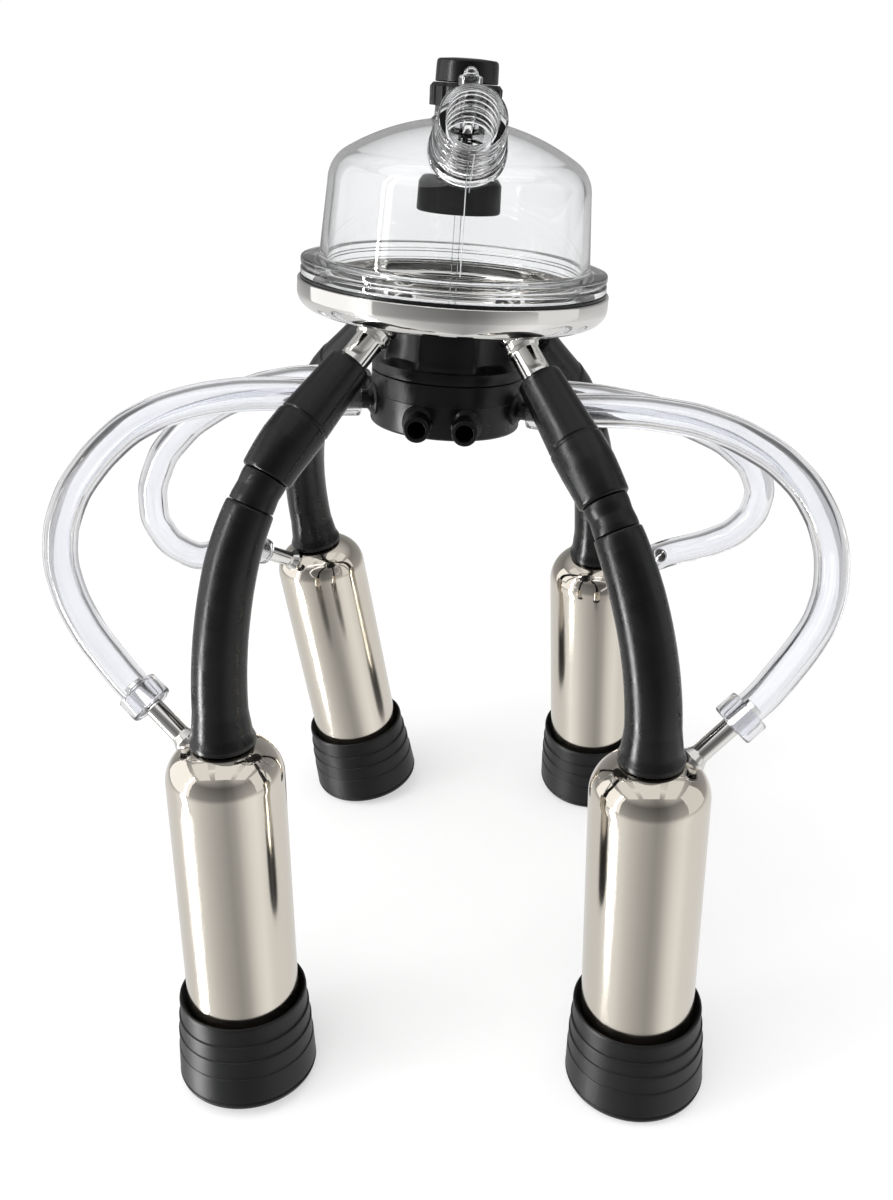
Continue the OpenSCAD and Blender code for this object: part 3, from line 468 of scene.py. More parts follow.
def tube_rubber():
    """Moulded black rubber with a soft satin skin."""
    f = Finish("tube_rubber", Specular_IOR_Level=0.3)
    f.colours(f.noise(30, 4), (0.0016, 0.0017, 0.002), (0.0036, 0.0037, 0.0042))
    f.rough(f.ramp(f.noise(120, 5), 0.22, 0.32))
    f.bump(f.noise(1500, 3), 0.00002, 0.5)
    return f.material


def mouth_rubber():
    """Moulded black rubber: a satin tail and a duller mouthpiece near the floor."""
    f = Finish("mouth_rubber", Specular_IOR_Level=0.3)
    f.colours(f.noise(45, 5), (0.002, 0.0021, 0.0024), (0.0048, 0.0049, 0.0054))
    f.rough(f.between(f.ramp(f.noise(160, 5), 0.22, 0.34), 0.46, f.by_height(0.06, 0.045)))
    f.bump(f.noise(1300, 4), 0.00004, 0.6)
    return f.material


def inner_rubber():
    """The dull black rubber inside the bowl."""
    f = Finish("inner_rubber", Specular_IOR_Level=0.08)
    f.colours(f.noise(45, 4), (0.001, 0.001, 0.0012), (0.003, 0.003, 0.0033))
    f.rough(f.ramp(f.noise(140, 4), 0.3, 0.45))
    f.bump(f.noise(900, 3), 0.00002, 0.4)
    return f.material


def mould_line_painted_highlight():
    """The thin raised mould line, coloured near-white as a painted highlight so that the clear line reads
    bright under any light.
    """
    f = Finish("mould_line_painted_highlight", Transmission_Weight=0.3, IOR=1.5)
    # painted highlight: the near-white base colour stands in for the glint along the clear mould line
    f.colours(f.noise(200, 2), (0.86, 0.87, 0.88), (0.95, 0.95, 0.96))
    f.rough(f.ramp(f.noise(300, 2), 0.3, 0.5))
    return f.material


def black_plastic():
    """Injection-moulded black plastic with a fine grain."""
    f = Finish("black_plastic", Specular_IOR_Level=0.3)
    f.colours(f.noise(50, 4), (0.0016, 0.0016, 0.0018), (0.0036, 0.0036, 0.004))
    f.rough(f.ramp(f.noise(140, 4), 0.26, 0.38))
    f.bump(f.noise(1800, 2), 0.00003, 0.5)
    return f.material


def clear_plastic():
    """Clear moulded plastic with faint flow marks."""
    f = Finish("clear_plastic", Transmission_Weight=1.0, IOR=1.5, Specular_IOR_Level=0.4)
    f.colours(f.noise(10, 2), (0.945, 0.95, 0.957), (0.962, 0.967, 0.972))
    f.rough(f.ramp(f.noise(40, 3), 0.0, 0.02))
    f.bump(f.noise(26, 2), 0.00008, 0.3)
    return f.material


def clear_hose():
    """Soft clear hose with a lilac cast and a slightly greasy skin."""
    f = Finish("clear_hose", Transmission_Weight=1.0, IOR=1.46)
    f.colours(f.noise(40, 3), (0.905, 0.91, 0.935), (0.94, 0.945, 0.965))
    f.rough(f.ramp(f.noise(150, 4), 0.02, 0.07))
    f.bump(f.noise(300, 2), 0.00003, 0.5)
    return f.material


SATIN, MIRROR = satin_steel(), mirror_steel()
TUBE_RUBBER, MOUTH_RUBBER, PLASTIC = tube_rubber(), mouth_rubber(), black_plastic()
CLEAR, HOSE = clear_plastic(), clear_hose()
INNER_RUBBER, LINE = inner_rubber(), mould_line_painted_highlight()


# Camera and light

CAMERA_AT, CAMERA_PITCH, CAMERA_ROLL = (4.75, -502.0, 420.0), 25.7, -0.79
FOCAL, FRAME_HEIGHT, SENSOR = 1185.0, 1200, 36.0


def set_camera():
    """The photograph's view: place, pitch and roll, and a focal length in pixels of the frame's height."""
    pitch, roll = np.radians(CAMERA_PITCH), np.radians(CAMERA_ROLL)
    ahead = np.array([0, np.cos(pitch), -np.sin(pitch)])
    level, up = np.array([1.0, 0, 0]), np.array([0, np.sin(pitch), np.cos(pitch)])
    x = np.cos(roll) * level + np.sin(roll) * up
    y = np.cos(roll) * up - np.sin(roll) * level
    matrix = np.eye(4)
    matrix[:3, 0], matrix[:3, 1], matrix[:3, 2] = x, y, -ahead
    matrix[:3, 3] = np.array(CAMERA_AT) * MM
    data = bpy.data.cameras.new("camera")
    data.sensor_width, data.lens = SENSOR, SENSOR * FOCAL / FRAME_HEIGHT
    data.clip_start = 0.01
    camera = bpy.data.objects.new("camera", data)
    bpy.context.scene.collection.objects.link(camera)
    camera.matrix_world = Matrix(matrix.tolist())
    bpy.context.scene.camera = camera


def seen_by(tree, rays):
    """1 for the named kinds of ray, 0 for the rest."""
    path = tree.nodes.new("ShaderNodeLightPath")
    most = path.outputs[rays[0]]
    for ray in rays[1:]:
        pick = tree.nodes.new("ShaderNodeMath")
        pick.operation = "MAXIMUM"
        tree.links.new(most, pick.inputs[0])
        tree.links.new(path.outputs[ray], pick.inputs[1])
        most = pick.outputs[0]
    return most


def off_inner_face(tree):
    """1 for rays that went into a clear wall, were mirrored once by its inner face and came out again."""
    path = tree.nodes.new("ShaderNodeLightPath")
    both = tree.nodes.new("ShaderNodeMath")
    both.operation = "MULTIPLY"
    for socket, depth, count in zip(both.inputs, ("Glossy Depth", "Transmission Depth"), (1, 2)):
        same = tree.nodes.new("ShaderNodeMath")
        same.operation = "COMPARE"
        same.inputs[1].default_value, same.inputs[2].default_value = count, 0.1
        tree.links.new(path.outputs[depth], same.inputs[0])
        tree.links.new(same.outputs[0], socket)
    return both.outputs[0]


def mixed(tree, fac, first, second):
    """The first shader where fac is 0, the second where it is 1."""
    mix = tree.nodes.new("ShaderNodeMixShader")
    tree.links.new(fac, mix.inputs["Fac"])
    tree.links.new(first, mix.inputs[1])
    tree.links.new(second, mix.inputs[2])
    return mix.outputs[0]


def graded(tree, value, stops):
    """Grey levels over a value from 0 to 1, given as (place, level) stops."""
    ramp = tree.nodes.new("ShaderNodeValToRGB")
    elements = ramp.color_ramp.elements
    for k, (place, level) in enumerate(stops):
        stop = elements[k] if k < 2 else elements.new(place)
        stop.position, stop.color = place, (level, level, level, 1)
    tree.links.new(value, ramp.inputs["Fac"])
    return ramp.outputs["Color"]


def set_world():
    """Even light from the world: white for the camera and through clear pieces. In reflections, also those
    off a clear wall's inner face, it is a studio by direction: dim in front, brighter to both sides, dim
    above the horizon and paler overhead."""
    world = bpy.data.worlds.new("studio")
    bpy.context.scene.world = world
    world.use_nodes = True
    tree = world.node_tree

    def background(strength):
        made = tree.nodes.new("ShaderNodeBackground")
        made.inputs["Color"].default_value = (1, 1, 1, 1)
        made.inputs["Strength"].default_value = strength
        return made

    def sums(operation, first, second):
        made = tree.nodes.new("ShaderNodeMath")
        made.operation = operation
        for socket, value in zip(made.inputs, (first, second)):
            if isinstance(value, float):
                socket.default_value = value
            else:
                tree.links.new(value, socket)
        return made.outputs[0]

    light, white, room = background(0.5), background(1.0), background(1.25)
    split = tree.nodes.new("ShaderNodeSeparateXYZ")
    tree.links.new(tree.nodes.new("ShaderNodeTexCoord").outputs["Generated"], split.inputs[0])
    round_about = sums("ARCTAN2", split.outputs["X"], sums("MULTIPLY", split.outputs["Y"], -1.0))
    around = graded(tree, sums("ADD", sums("DIVIDE", round_about, TURN), 0.5), [
        (0.0, 0.64), (1.0, 0.64), (0.22, 0.68), (0.29, 0.95), (0.34, 0.8), (0.39, 0.6), (0.445, 0.46),
        (0.52, 0.32), (0.56, 0.4), (0.59, 0.6), (0.63, 0.8), (0.67, 0.88), (0.72, 0.76)])
    height = graded(tree, sums("ADD", sums("MULTIPLY", split.outputs["Z"], 0.5), 0.5), [
        (0.0, 1.0), (1.0, 1.0), (0.34, 1.0), (0.45, 0.5), (0.75, 0.3), (0.9, 0.75)])
    tree.links.new(sums("MULTIPLY", around, height), room.inputs["Color"])
    lit = mixed(tree, seen_by(tree, ["Is Glossy Ray"]), light.outputs[0], room.outputs[0])
    clear = mixed(tree, off_inner_face(tree), white.outputs[0], room.outputs[0])
    seen = mixed(tree, seen_by(tree, ["Is Camera Ray", "Is Transmission Ray"]), lit, clear)
    tree.links.new(seen, tree.nodes["World Output"].inputs["Surface"])


def set_floor():
    """A plain white floor; where it is seen, part of its white is its own light, so shadows stay soft.
    Reflections show the studio in its place."""
    r, unseen_grey, seen_grey, own_light = 9.0, 0.8, 0.5, 0.52
    mesh = bpy.data.meshes.new("floor")
    mesh.from_pydata([(-r, -r, 0), (r, -r, 0), (r, r, 0), (-r, r, 0)], [], [(0, 1, 2, 3)])
    floor = bpy.data.objects.new("floor", mesh)
    bpy.context.scene.collection.objects.link(floor)
    material = bpy.data.materials.new("floor_white")
    material.use_nodes = True
    tree = material.node_tree
    shader = tree.nodes["Principled BSDF"]
    shader.inputs["Base Color"].default_value = (unseen_grey, unseen_grey, unseen_grey, 1)
    shader.inputs["Specular IOR Level"].default_value = 0.0
    shown = tree.nodes.new("ShaderNodeBsdfDiffuse")
    shown.inputs["Color"].default_value = (seen_grey, seen_grey, seen_grey, 1)
    glow = tree.nodes.new("ShaderNodeEmission")
    glow.inputs["Strength"].default_value = own_light
    lifted = tree.nodes.new("ShaderNodeAddShader")
    tree.links.new(shown.outputs[0], lifted.inputs[0])
    tree.links.new(glow.outputs[0], lifted.inputs[1])
    rays = seen_by(tree, ["Is Camera Ray", "Is Transmission Ray"])
    passed = tree.nodes.new("ShaderNodeBsdfTransparent")
    seen = mixed(tree, off_inner_face(tree), lifted.outputs[0], passed.outputs[0])
    both = mixed(tree, rays, shader.outputs[0], seen)
    tree.links.new(both, tree.nodes["Material Output"].inputs["Surface"])
    mesh.materials.append(material)
    floor.visible_glossy = False


def lamp(data, at, to):
    """Place a lamp at a point and aim it at another; reflections show the strips instead of lamps."""
    obj = bpy.data.objects.new(data.name, data)
    bpy.context.scene.collection.objects.link(obj)
    turn, _ = along(at, np.subtract(at, to))
    matrix = np.eye(4)
    matrix[:3, :3], matrix[:3, 3] = turn, at
    obj.matrix_world = Matrix(matrix.tolist())
    obj.visible_glossy = False


def softbox(name, at, to, size, watts):
    """A rectangular lamp aimed at a point."""
    data = bpy.data.lights.new(name, "AREA")
    data.shape, data.size, data.size_y, data.energy = "RECTANGLE", size[0], size[1], watts
    lamp(data, at, to)


def skylight(at, strength, spread):
    """A broad soft light from one side that is even over the whole floor."""
    data = bpy.data.lights.new("skylight", "SUN")
    data.energy, data.angle = strength, np.radians(spread)
    lamp(data, at, (0, 0, 0))


def card(name, middle, across, up, strength, mirrored=True):
    """A studio card of one grey that shows only in reflections, or only through clear pieces."""
    m, a, u = (np.asarray(v, float) for v in (middle, across, up))
    mesh = bpy.data.meshes.new(name)
    mesh.from_pydata([m - a - u, m + a - u, m + a + u, m - a + u], [], [(0, 1, 2, 3)])
    obj = bpy.data.objects.new(name, mesh)
    bpy.context.scene.collection.objects.link(obj)
    material = bpy.data.materials.new(name)
    material.use_nodes = True
    tree = material.node_tree
    tree.nodes.remove(tree.nodes["Principled BSDF"])
    glow = tree.nodes.new("ShaderNodeEmission")
    glow.inputs["Strength"].default_value = strength
    tree.links.new(glow.outputs[0], tree.nodes["Material Output"].inputs["Surface"])
    mesh.materials.append(material)
    obj.visible_camera = obj.visible_diffuse = obj.visible_shadow = False
    obj.visible_glossy, obj.visible_transmission = mirrored, not mirrored


def set_studio():
    """White sweep, soft light from the upper left, a strip, windows and roof panels for highlights, grey
    cards for clear edges. Places and sizes are in metres."""
    set_world()
    set_floor()
    skylight((-0.5, -0.45, 1.0), 2.0, 70)
    softbox("left", (-1.2, -0.55, 0.75), (0, 0, 0.2), (0.3, 1.2), 4)
    softbox("right", (1.3, -0.5, 0.8), (0, 0, 0.2), (0.2, 1.0), 2)
    card("strip_left", (-1.5, -0.53, 0.1), (0.04, -0.12, 0), (0, 0, 1.3), 42.0)
    card("window_left", (-1.55, 0.1, 0.65), (0.1, -1.0, 0), (0, 0, 0.75), 1.35)
    card("window_right", (1.55, -0.25, 0.65), (0.1, 0.55, 0), (0, 0, 0.75), 0.95)
    for x in (-0.95, 0.0, 0.95):
        card("roof_panel", (x, -0.25, 1.5), (0.36, 0, 0), (0, 0.75, 0), 1.0)
    for side in (-0.5, 0.5):
        card("hose_card", (side, 0.2, 0.13), (0, 0.45, 0), (0, 0, 0.13), 0.6, mirrored=False)
        card("bowl_card", (side, 0.2, 0.52), (0, 0.45, 0), (0, 0, 0.25), 0.1, mirrored=False)


set_camera()
set_studio()


# Pulse tubes and their cuffs

PULSE_R, PULSE_BORE, PULSE_LEAD = 7.0, 4.15, 4.0
CUFFED = ("fl", "fr")
CUFF_R, CUFF_L, CUFF_OVER, CUFF_AIR = 9.2, 10.0, 0.4, 0.1


def pulse_tube(key):
    """A clear tube: a round wall with softened rims carried along its smooth route."""
    nipple = nipple_place(key)
    grip = NIPPLE_BARE + NIPPLE_GRIP
    points = ([port_point(key, PORT_BARE), port_point(key, SIDE_PORT)] + ROUTE[key]
              + [put(nipple, [0, 0, s]) for s in (grip + PULSE_LEAD, grip, NIPPLE_BARE)])
    route, length, path = smooth_route(points)
    wall = rounded([(0, PULSE_BORE, 0.3), (0, PULSE_R, 0.6), (length, PULSE_R, 0.6),
                    (length, PULSE_BORE, 0.3)], closed=True, steps=4)
    tube = skin("hose_" + key, [(carried(denser_loop(wall, 2.0), route, turns=48), LOOP)],
                HOSE, "clear_tube", stands_for=("pulse_tube_" + key,))
    if key in CUFFED:
        inner, low = PULSE_R + CUFF_AIR, NIPPLE_BARE - CUFF_OVER
        high = low + CUFF_L
        ring = rounded([(inner, low, 0.4), (CUFF_R, low, 1.4), (CUFF_R, high, 1.8), (inner, high, 0.3)],
                       closed=True)
        skin("hose_cuff_" + key, [(turned(ring, nipple, turns=64), LOOP)],
                          HOSE, "clear_tube", stands_for=("pulse_cuff_" + key,))


for key in CUPS:
    pulse_tube(key)


# Milk tubes, connectors and liners. Corners are distance along the leg, radius and rounding.

TUBE_FROM, TUBE_BORE, TUBE_RIDGE = 21.0, 5.8, 0.16
TUBE_END = TUBE_TO - 0.2
HARD_BORE, HARD_SPIGOT, HARD_R = 4.3, 5.7, 8.9
HARD_FROM, HARD_TO = 67.0, 99.5


def milk_tube(key, route):
    """A tube that widens to a step and a thick cuff: radius over distance from the cover."""
    outline = rounded([(TUBE_FROM, TUBE_BORE, 0.6), (TUBE_FROM, 8.7, 1.0), (24, 9.0, 3), (36, 9.6, 30),
                       (50.6, 10.55, 0.4), (51.2, 10.2, 0.3), (52.0, 10.2, 0.3), (52.4, 10.95, 0.7),
                       (62, 11.0, 20), (TUBE_END, 10.1, 1.3), (TUBE_END, TUBE_BORE, 0.5)], closed=True)
    skin("tube_" + key, [(carried(denser_loop(outline, 2.5), route, turns=72, ridge=TUBE_RIDGE), LOOP)],
         TUBE_RUBBER, "rubber", stands_for=("milk_tube_" + key,))


def connector(key, route):
    """A hard connector, waisted a little between the cuff and the tail."""
    outline = rounded([(HARD_FROM, HARD_BORE, 0.2), (HARD_FROM, HARD_SPIGOT, 0.3), (TUBE_TO, HARD_SPIGOT),
                       (TUBE_TO, HARD_R, 0.5), (79.5, HARD_R, 1.5), (83, 8.55, 4), (87, HARD_R, 1.5),
                       (TAIL_FROM, HARD_R, 0.4), (TAIL_FROM, HARD_SPIGOT), (HARD_TO, HARD_SPIGOT, 0.3),
                       (HARD_TO, HARD_BORE, 0.2)], closed=True)
    skin("connector_" + key, [(carried(denser_loop(outline, 2.5), route, turns=64), LOOP)],
         PLASTIC, "black_plastic", stands_for=("tail_connector_" + key,))


def liner(key, route, length):
    """One liner: tail, foot, barrel and mouthpiece as radius over distance, closed through its bore."""
    def down(z):
        return length + LINER_TOP - z

    start = TAIL_FROM + 0.2
    span = length - start
    tail = [(start, 5.8, 0.6), (start, 9.5, 1.1), (start + 4, 9.75, 6), (start + 0.3 * span, 10.4, 60),
            (start + 0.7 * span, 10.8, 60), (length - 4, 11.1, 12), (down(167.5), 12.2, 10),
            (down(164.5), 13.5, 2.5), (down(162.6), 13.4, 0.9), (down(162.1), 12.6, 0.3)]
    hidden = [(down(162.1), 11.3), (down(154.5), 11.3), (down(146), 13.4), (down(23.3), 13.4),
              (down(15.2), 22.6), (down(14), 22.6), (down(13.8), 24.15)]
    lip = [(down(37.5), 24.15, 0.6), (down(40.6), 26.1, 0.6), (down(41.5), 26.5, 0.4),
           (down(41.5), 27.3, 0.5), (down(40.3), 27.5, 0.6), (down(32.7), 27.6, 0.2),
           (down(32.4), 28.3, 0.15), (down(25.2), 28.4, 0.2), (down(24.9), 29.0, 0.15),
           (down(16.7), 29.1, 0.2), (down(16.4), 29.5, 0.15), (down(4.4), 30.0, 0.3),
           (down(4.1), 29.6, 0.2), (down(3.5), 29.6, 0.2), (down(3.2), 30.2, 0.6),
           (down(1.2), 29.6, 1.6), (down(0), 27.2, 1.5)]
    inside = [(down(0), 13.5, 1.5), (down(1.5), 11.5, 0.8), (down(4), 11.5, 0.5), (down(4), 19.5, 2),
              (down(14), 19.5, 2), (down(23.3), 10.75, 2), (down(133.5), 10.75, 3), (down(147), 5.8, 3)]
    outline = rounded(tail + hidden + lip + inside, closed=True)
    skin("liner_skin_" + key, [(carried(denser_loop(outline, 3.0), route, turns=112), LOOP)],
         MOUTH_RUBBER, "rubber", stands_for=("liner_" + key,))


for key in CUPS:
    leg, leg_length = leg_route(key)
    milk_tube(key, leg)
    connector(key, leg)
    liner(key, leg, leg_length)


# Shells and their nipples. Corners from here on are radius, height and rounding.

NECK_SWEEP, NIPPLE_R, NIPPLE_END = 80, 4.0, 31.8


def shell(key):
    """A drawn steel shell: straight wall, round shoulder and a turned-in neck, one closed wall."""
    r, t = SHELL_R, SHELL_T
    outside = ([(r - t, SHELL_Z), (r, SHELL_Z), (r, SHELL_Z + 60)]
               + arc(r - SHOULDER_R, SHOULDER_Z, SHOULDER_R, 0, NECK_SWEEP, 28))
    inside = arc(r - SHOULDER_R, SHOULDER_Z, SHOULDER_R - t, NECK_SWEEP - 1, 0, 28)
    outline = rounded(outside + inside, closed=True)
    skin("shell_skin_" + key, [(turned(outline, in_cup(key), turns=160), LOOP)],
         SATIN, "satin_steel", stands_for=("shell_" + key,))


def nipple(key):
    """A nipple with a weld fillet at the shoulder and a softened end."""
    outline = rounded([(3, -4), (5.6, -4), (5.6, 0.2, 0.6), (NIPPLE_R, 3.2, 3), (NIPPLE_R, NIPPLE_END, 0.5),
                       (3.1, NIPPLE_END, 0.3)], closed=True)
    skin("nipple_skin_" + key, [(turned(outline, nipple_place(key), turns=56), LOOP)],
         MIRROR, "satin_steel", stands_for=("shell_nipple_" + key,))


for key in CUPS:
    shell(key)
    nipple(key)


# Claw: bowl, cover, inlets

FLANGE_R, FLANGE_H, FLANGE_AIR = 62.5, 7.0, 0.06
GROOVE_R, ROOM_R, BOWL_WALL = 61.2, 52.2, 2.8
DOME_AT, DOME_R, DOME_SWEEP, ROOF_R = (38.0, 36.0), 14.5, 58.0, 90.0
ROOF_AT = (DOME_AT[0] - (ROOF_R - DOME_R) * np.cos(np.radians(DOME_SWEEP)),
           DOME_AT[1] - (ROOF_R - DOME_R) * np.sin(np.radians(DOME_SWEEP)))
NECK_R, NECK_TOP, NECK_BORE = 11.5, 71.0, 8.7
SPOUT_AT, SPOUT_RISE, SPOUT_L, SPOUT_STEPS, SPOUT_BORE = (0, -44.5, 51.5), 24.0, 28.5, 6, 9.25
PEG_AT = (0, -33, 51.5)
LINE_R = 0.2
COVER_ROUND, COVER_T, COVER_TOP, LEDGE_R = 7.0, 1.5, -1.2, 57.0


def dome_line(wall, r):
    """Shoulder arc and roof arc of the dome, drawn in by the wall, up to a radius."""
    end = np.degrees(np.arccos((r - ROOF_AT[0]) / (ROOF_R - wall)))
    return (arc(*DOME_AT, DOME_R - wall, 0, DOME_SWEEP, 16)
            + arc(*ROOF_AT, ROOF_R - wall, DOME_SWEEP, end, 20)[1:])


def spout_place():
    """A frame at the spout's base ring with Z along the spout."""
    turn, origin = in_claw(BOWL_TURN)
    rise = np.radians(SPOUT_RISE)
    return along(turn @ SPOUT_AT + origin, turn @ [0, -np.cos(rise), np.sin(rise)])


def spout_outline():
    """The spout's outside: root, base ring, thin raised rings that narrow outwards, lip."""
    step = SPOUT_L / SPOUT_STEPS
    rings = []
    for k in range(1, SPOUT_STEPS):
        low, high, at = 14.2 - 0.5 * k, 14.55 - 0.5 * k, step * k
        rings += [(low, at - 0.75, 0.4), (high, at - 0.35, 0.3),
                  (high, at + 0.35, 0.3), (low, at + 0.75, 0.4)]
    root = [(0, -22), (13.3, -22), (13.3, -0.8), (14.5, -0.6, 0.5), (14.5, 1.2, 0.6), (13.9, 1.6, 0.3)]
    lip = [(11.5, 26.2, 0.4), (12.0, 26.6, 0.4), (12.0, 28.2, 1.0), (11.3, 28.7, 0.5), (0, 28.7)]
    return rounded(root + rings + lip, steps=3)


def peg_outline():
    """The vent peg: a slim cone, a collar and a small dome."""
    stem = [(0, -8), (3.6, -8), (3.45, 21.2, 0.3), (4.4, 21.9, 0.3), (4.4, 24.8, 0.8), (2.9, 25.1, 0.3)]
    return rounded(stem + arc(0, 25.3, 2.7, 8, 90, 8), steps=3)


def bowl():
    """The clear bowl: turned outside with spout and peg united, then room and bores cut out."""
    claw = in_claw(BOWL_TURN)
    flange = [(0, FLANGE_AIR), (FLANGE_R, FLANGE_AIR, 0.5), (FLANGE_R, 2.8, 0.5), (GROOVE_R, 2.9, 0.3),
              (GROOVE_R, 4.1, 0.3), (FLANGE_R, 4.2, 0.5), (FLANGE_R, FLANGE_H, 0.9)]
    wall = [(55.2, FLANGE_H, 1.6), (55.0, 8.5)]
    neck = [(11.8, 62.0, 1.0), (NECK_R, NECK_TOP, 0.5), (0, NECK_TOP)]
    outside = rounded(flange + wall + dome_line(0, 13.0) + neck)
    room = rounded([(0, -7), (ROOM_R, -7), (ROOM_R, FLANGE_H, 20)] + dome_line(BOWL_WALL, 0.0))
    peg_at = (claw[0], put(claw, PEG_AT))
    whole = joined(mesh_of("bowl_out", (turned(outside, claw, turns=128), CAPPED)),
                   [mesh_of("spout", (turned(spout_outline(), spout_place(), turns=72), CAPPED)),
                    mesh_of("peg", (turned(peg_outline(), peg_at, turns=40), CAPPED))], "UNION")
    spout_bore = np.array([(0, -40), (SPOUT_BORE, -40), (SPOUT_BORE, 40), (0, 40)], float)
    neck_bore = np.array([(0, 36), (NECK_BORE, 36), (NECK_BORE, 80), (0, 80)], float)
    whole = joined(whole, [mesh_of("room", (turned(room, claw, turns=128), CAPPED)),
                           mesh_of("neck", (turned(neck_bore, claw, turns=64), CAPPED)),
                           mesh_of("bore", (turned(spout_bore, spout_place(), turns=72), CAPPED))],
                   "DIFFERENCE")
    close_up(whole)
    piece("bowl_clear", whole, CLEAR, "clear_bowl", stands_for=("bowl", "spout"), sharp=32)


def mould_line():
    """A fine raised line where the bowl's mould parted: a thin rod up the front wall and along the spout,
    coloured white as a painted highlight.
    """
    claw = in_claw(BOWL_TURN)
    wall = [put(claw, [0, -r, z]) for r, z in
            ((55.0, 8.8), (53.75, 22), (52.5, 36), (52.2, 39), (51.6, 41.6), (50.6, 44.2))]
    spout = [put(spout_place(), [0, 14.75 - 0.09 * s, s]) for s in (-0.4, 9, 18.5, 28)]
    sheets = []
    for points in (wall, spout):
        route, length, _ = smooth_route(points)
        rod = rounded([(0, 0), (0, LINE_R), (length, LINE_R), (length, 0)])
        sheets.append((carried(denser(rod, 1.5), route, turns=12), CAPPED))
    # the rod's white finish is a painted highlight, not the colour of the clear moulding
    skin("mould_line", sheets, LINE, "clear_bowl")


def cover():
    """The pan: ledge, short wall, round edge, slightly sloped floor, as one closed sheet."""
    edge = (COVER_EDGE_R, COVER_EDGE_Z)
    outer, under = COVER_EDGE_R + COVER_ROUND, COVER_TOP - COVER_T
    outside = ([(0, COVER_FLOOR), (COVER_FLAT_R, COVER_FLOOR, 60)] + arc(*edge, COVER_ROUND, -90, 0, 18)
               + [(outer, COVER_TOP, 0.7), (LEDGE_R, COVER_TOP, 0.3), (LEDGE_R, under, 0.3)])
    inside = ([(outer - COVER_T, under, 0.6)] + arc(*edge, COVER_ROUND - COVER_T, 0, -90, 18)
              + [(COVER_FLAT_R, COVER_FLOOR + COVER_T, 60), (0, COVER_FLOOR + COVER_T)])
    skin("cover_skin", [(turned(rounded(outside + inside), in_claw(), turns=160), CAPPED)],
         MIRROR, "mirror_steel", stands_for=("cover",))


def seal():
    """The black seal's visible rim between flange and pan."""
    ring = rounded([(60.3, -1.15), (62.7, -1.15, 0.2), (62.7, 0.0, 0.2), (60.3, 0.0)], closed=True)
    skin("seal_skin", [(turned(ring, in_claw(), turns=160), LOOP)],
         TUBE_RUBBER, "rubber", stands_for=("bowl_seal",))


def inlet(key):
    """A welded inlet: flared weld, plain tube, bead, plain tube to its end inside the milk tube."""
    bore, r, end = 4.2, 5.8, 44
    outline = rounded([(bore, -8), (r, -8), (r, -2), (7.8, -0.4, 1.2), (6.1, 2.6, 2), (6.1, 3.4, 0.8),
                       (6.9, 4.2, 1), (6.9, 7.2, 1), (r, 8.6, 1.5), (r, end, 0.4), (bore, end, 0.3)],
                      closed=True)
    skin("inlet_skin_" + key, [(turned(outline, inlet_place(key), turns=64), LOOP)],
         MIRROR, "mirror_steel", stands_for=("milk_inlet_" + key,))


bowl()
mould_line()
cover()
seal()
for key in CUPS:
    inlet(key)


# Claw: distributor

STAR_TURNS, STAR_FAR, STAR_SOFT = 288, 40.0, 0.15
HOLLOW_AT, HOLLOW_R = 36.5, 13.0
DRUM_AIR, PARTING_Z, PARTING_RISE = 0.15, -46.0, 0.25


def star_top():
    """The distributor's upper part: a round rim and, above it, a star with a hollow at each inlet.

    The star's radius at an angle is the smaller of its own and the near side of the inlets' circles,
    blended with the rim by height.
    """
    z = np.array([-37.2, -37.2, -36.8, -33.4, -32.6, -32.2, -31.6, -30.4, -28, -22, -17, -16.2, -15.8, -15.8])
    base = np.array([0.0, 31.6, 32.0, 32.0, 31.7, 31.0, 30.2, 29.6, 29.2, 29.0, 28.8, 28.5, 28.0, 0.0])
    hollow = np.array([0, 0, 0, 0, 0, 0.1, 0.45, 0.85, 1, 1, 1, 1, 1, 1.0])
    a = np.linspace(0, TURN, STAR_TURNS, endpoint=False)
    near = np.full(STAR_TURNS, STAR_FAR)
    for cup in CUPS.values():
        off = a - np.radians(cup["inlet"])
        under = HOLLOW_R * HOLLOW_R - (HOLLOW_AT * np.sin(off)) ** 2
        cut = HOLLOW_AT * np.cos(off) - np.sqrt(np.maximum(under, 0))
        near = np.where((under > 0) & (np.cos(off) > 0), np.minimum(near, cut), near)
    rim = base[:, None]
    deep = np.minimum(rim, near[None])
    soft = rim - np.sqrt((rim - deep) ** 2 + STAR_SOFT) + np.sqrt(STAR_SOFT)
    table = np.where(rim > 0, rim + (soft - rim) * hollow[:, None], 0)
    points = turned(np.column_stack([base, z]), in_claw(COVER_TURN), turns=STAR_TURNS, radius=table)
    skin("star_top", [(points, CAPPED)], PLASTIC, "black_plastic", stands_for=("distributor_top",))


def port_outline(length, lip):
    """A hose nipple from inside the drum's wall: root fillet, shank, end lip if any, bore."""
    bore, shank, over = (3.5, 4.6, 2.5) if lip else (2.5, 4.0, 0)
    root = [(bore, -3), (6.8, -3), (6.8, 0.3, 0.5), (shank, 2.2, 1.6), (shank, length - 1.2, 0.5)]
    tip = [(5.2, length - 0.3, 0.5), (5.2, length + 1.9, 0.6)] if lip else [(4.0, length - 0.2, 0.4)]
    return rounded(root + tip + [(bore, length + over - 0.3, 0.4)], closed=True, steps=4)


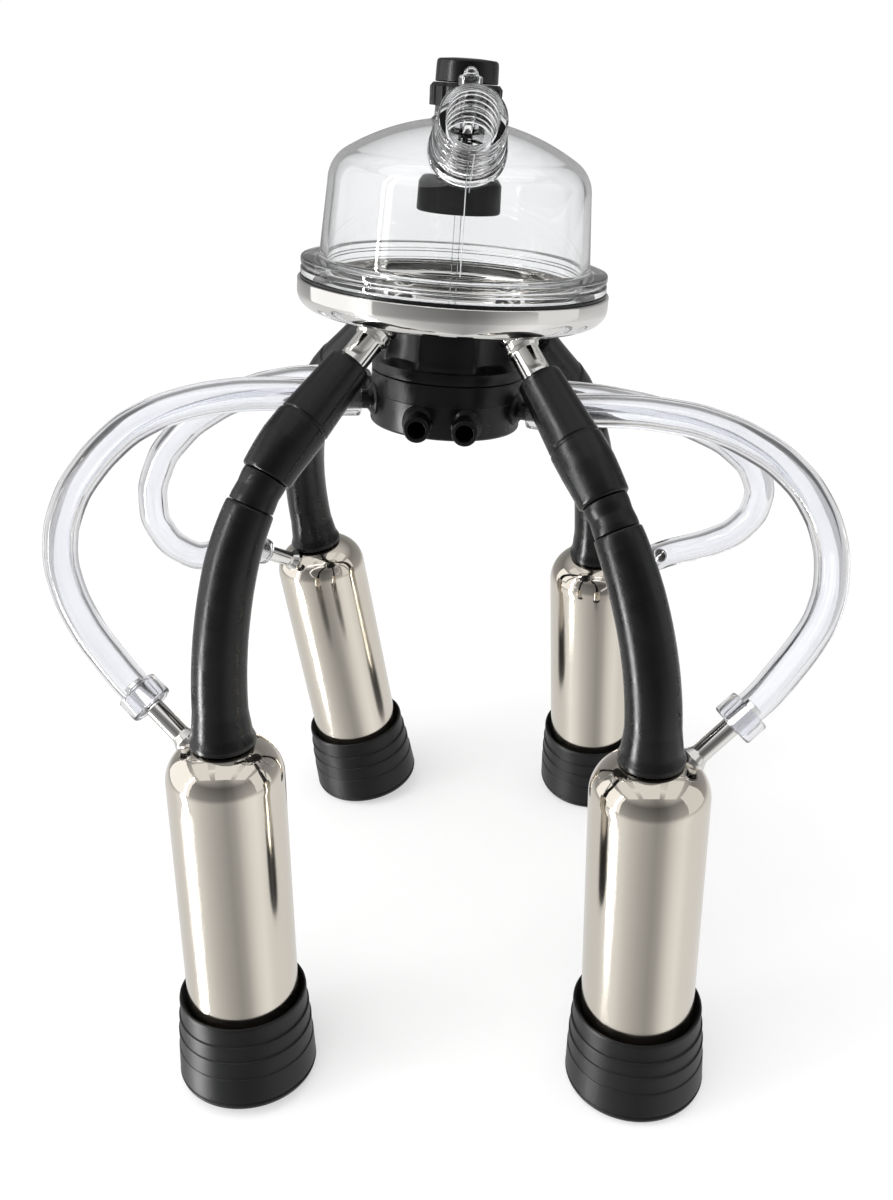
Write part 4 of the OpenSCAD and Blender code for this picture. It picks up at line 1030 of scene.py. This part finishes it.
def drum():
    """The distributor's drum with a fine parting line, four side nipples and two front nipples."""
    top = DRUM_TOP - DRUM_AIR
    wall = rounded([(0, DRUM_BOTTOM), (DRUM_R - 0.2, DRUM_BOTTOM, 1.6), (DRUM_R, PARTING_Z - 0.2, 0.1),
                    (DRUM_R + PARTING_RISE, PARTING_Z, 0.1), (DRUM_R, PARTING_Z + 0.2, 0.1),
                    (DRUM_R, top, 0.5), (0, top)])
    sheets = [(turned(wall, in_claw(COVER_TURN), turns=160), CAPPED)]
    for cup in CUPS.values():
        turn, origin = in_claw(cup["port"] + COVER_TURN)
        at = along(turn @ [DRUM_R, 0, PORT_Z] + origin, turn[:, 0])
        sheets.append((turned(port_outline(SIDE_PORT, False), at, turns=48), LOOP))
    turn, origin = in_claw(COVER_TURN)
    for x in (-FRONT_PORT_X, FRONT_PORT_X):
        y = -np.sqrt(DRUM_R ** 2 - x ** 2)
        at = along(turn @ [x, y, FRONT_PORT_Z] + origin, -turn[:, 1])
        sheets.append((turned(port_outline(FRONT_PORT, True), at, turns=48), LOOP))
    nipples = ["side_nipple_" + key for key in CUPS] + ["front_nipple_left", "front_nipple_right"]
    skin("drum_skin", sheets, PLASTIC, "black_plastic", stands_for=("distributor_body", *nipples))


star_top()
drum()


# Claw: shut-off valve

GRIP_TURNS, FLUTES, FLUTE_DEPTH = 320, 16, 0.9
GRIP_SOLID, GRIP_BLEND = 12.4, 1.2


def valve():
    """Cap, fluted grip and cup, each turned about the claw's axis.

    The grip's radius is cut back by flattened cosine waves, more so the further out it is.
    """
    claw = in_claw()
    cap = rounded([(0, 74.1), (12.2, 74.1, 0.5), (12.0, 80.5, 0), (11.7, 82.3, 2.2), (6, 82.8, 20),
                   (0, 82.9)])
    skin("cap_skin", [(turned(cap, claw, turns=96), CAPPED)],
         TUBE_RUBBER, "rubber", body="valve", stands_for=("valve_cap",))
    grip = rounded([(4.05, 73.9), (4.05, 71.5), (12.0, 71.5), (12.0, 65.6, 0.3), (14.0, 65.6, 0.5),
                    (14.1, 72.4, 0.3), (12.9, 73.9, 0.6)], closed=True)
    a = np.linspace(0, TURN, GRIP_TURNS, endpoint=False)
    flute = np.clip(np.cos(FLUTES * a) * 2.2, -1, 1) * 0.5 - 0.5
    side = np.clip((grip[:, 0] - GRIP_SOLID) / GRIP_BLEND, 0, 1)
    table = grip[:, :1] + FLUTE_DEPTH * side[:, None] * flute
    skin("grip_skin", [(turned(grip, claw, turns=GRIP_TURNS, radius=table), LOOP)],
         PLASTIC, "black_plastic", body="valve", stands_for=("valve_grip",))
    cup = rounded([(0, 38.3), (13.8, 38.3, 2.5), (13.8, 26.9, 0.3), (14.6, 26.5, 0.4), (16.9, 26.5, 0.9),
                   (16.5, 38.5, 3), (14.6, 42.2, 3), (0, 42.4)])
    skin("cup_skin", [(turned(cup, claw, turns=128), CAPPED)],
         INNER_RUBBER, "rubber", body="valve", stands_for=("valve_cup",))


valve()


# Solids that keep their shape and get a finish

KEPT = {
    "floor_disc": INNER_RUBBER, "centre_screw": MIRROR, "valve_stem": PLASTIC,
    "valve_rod": CLEAR, "stem_bush": PLASTIC,
}
for name, material in KEPT.items():
    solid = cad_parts[name]
    solid.data.materials.clear()
    solid.data.materials.append(material)

bpy.context.scene.view_settings.view_transform = "Standard"
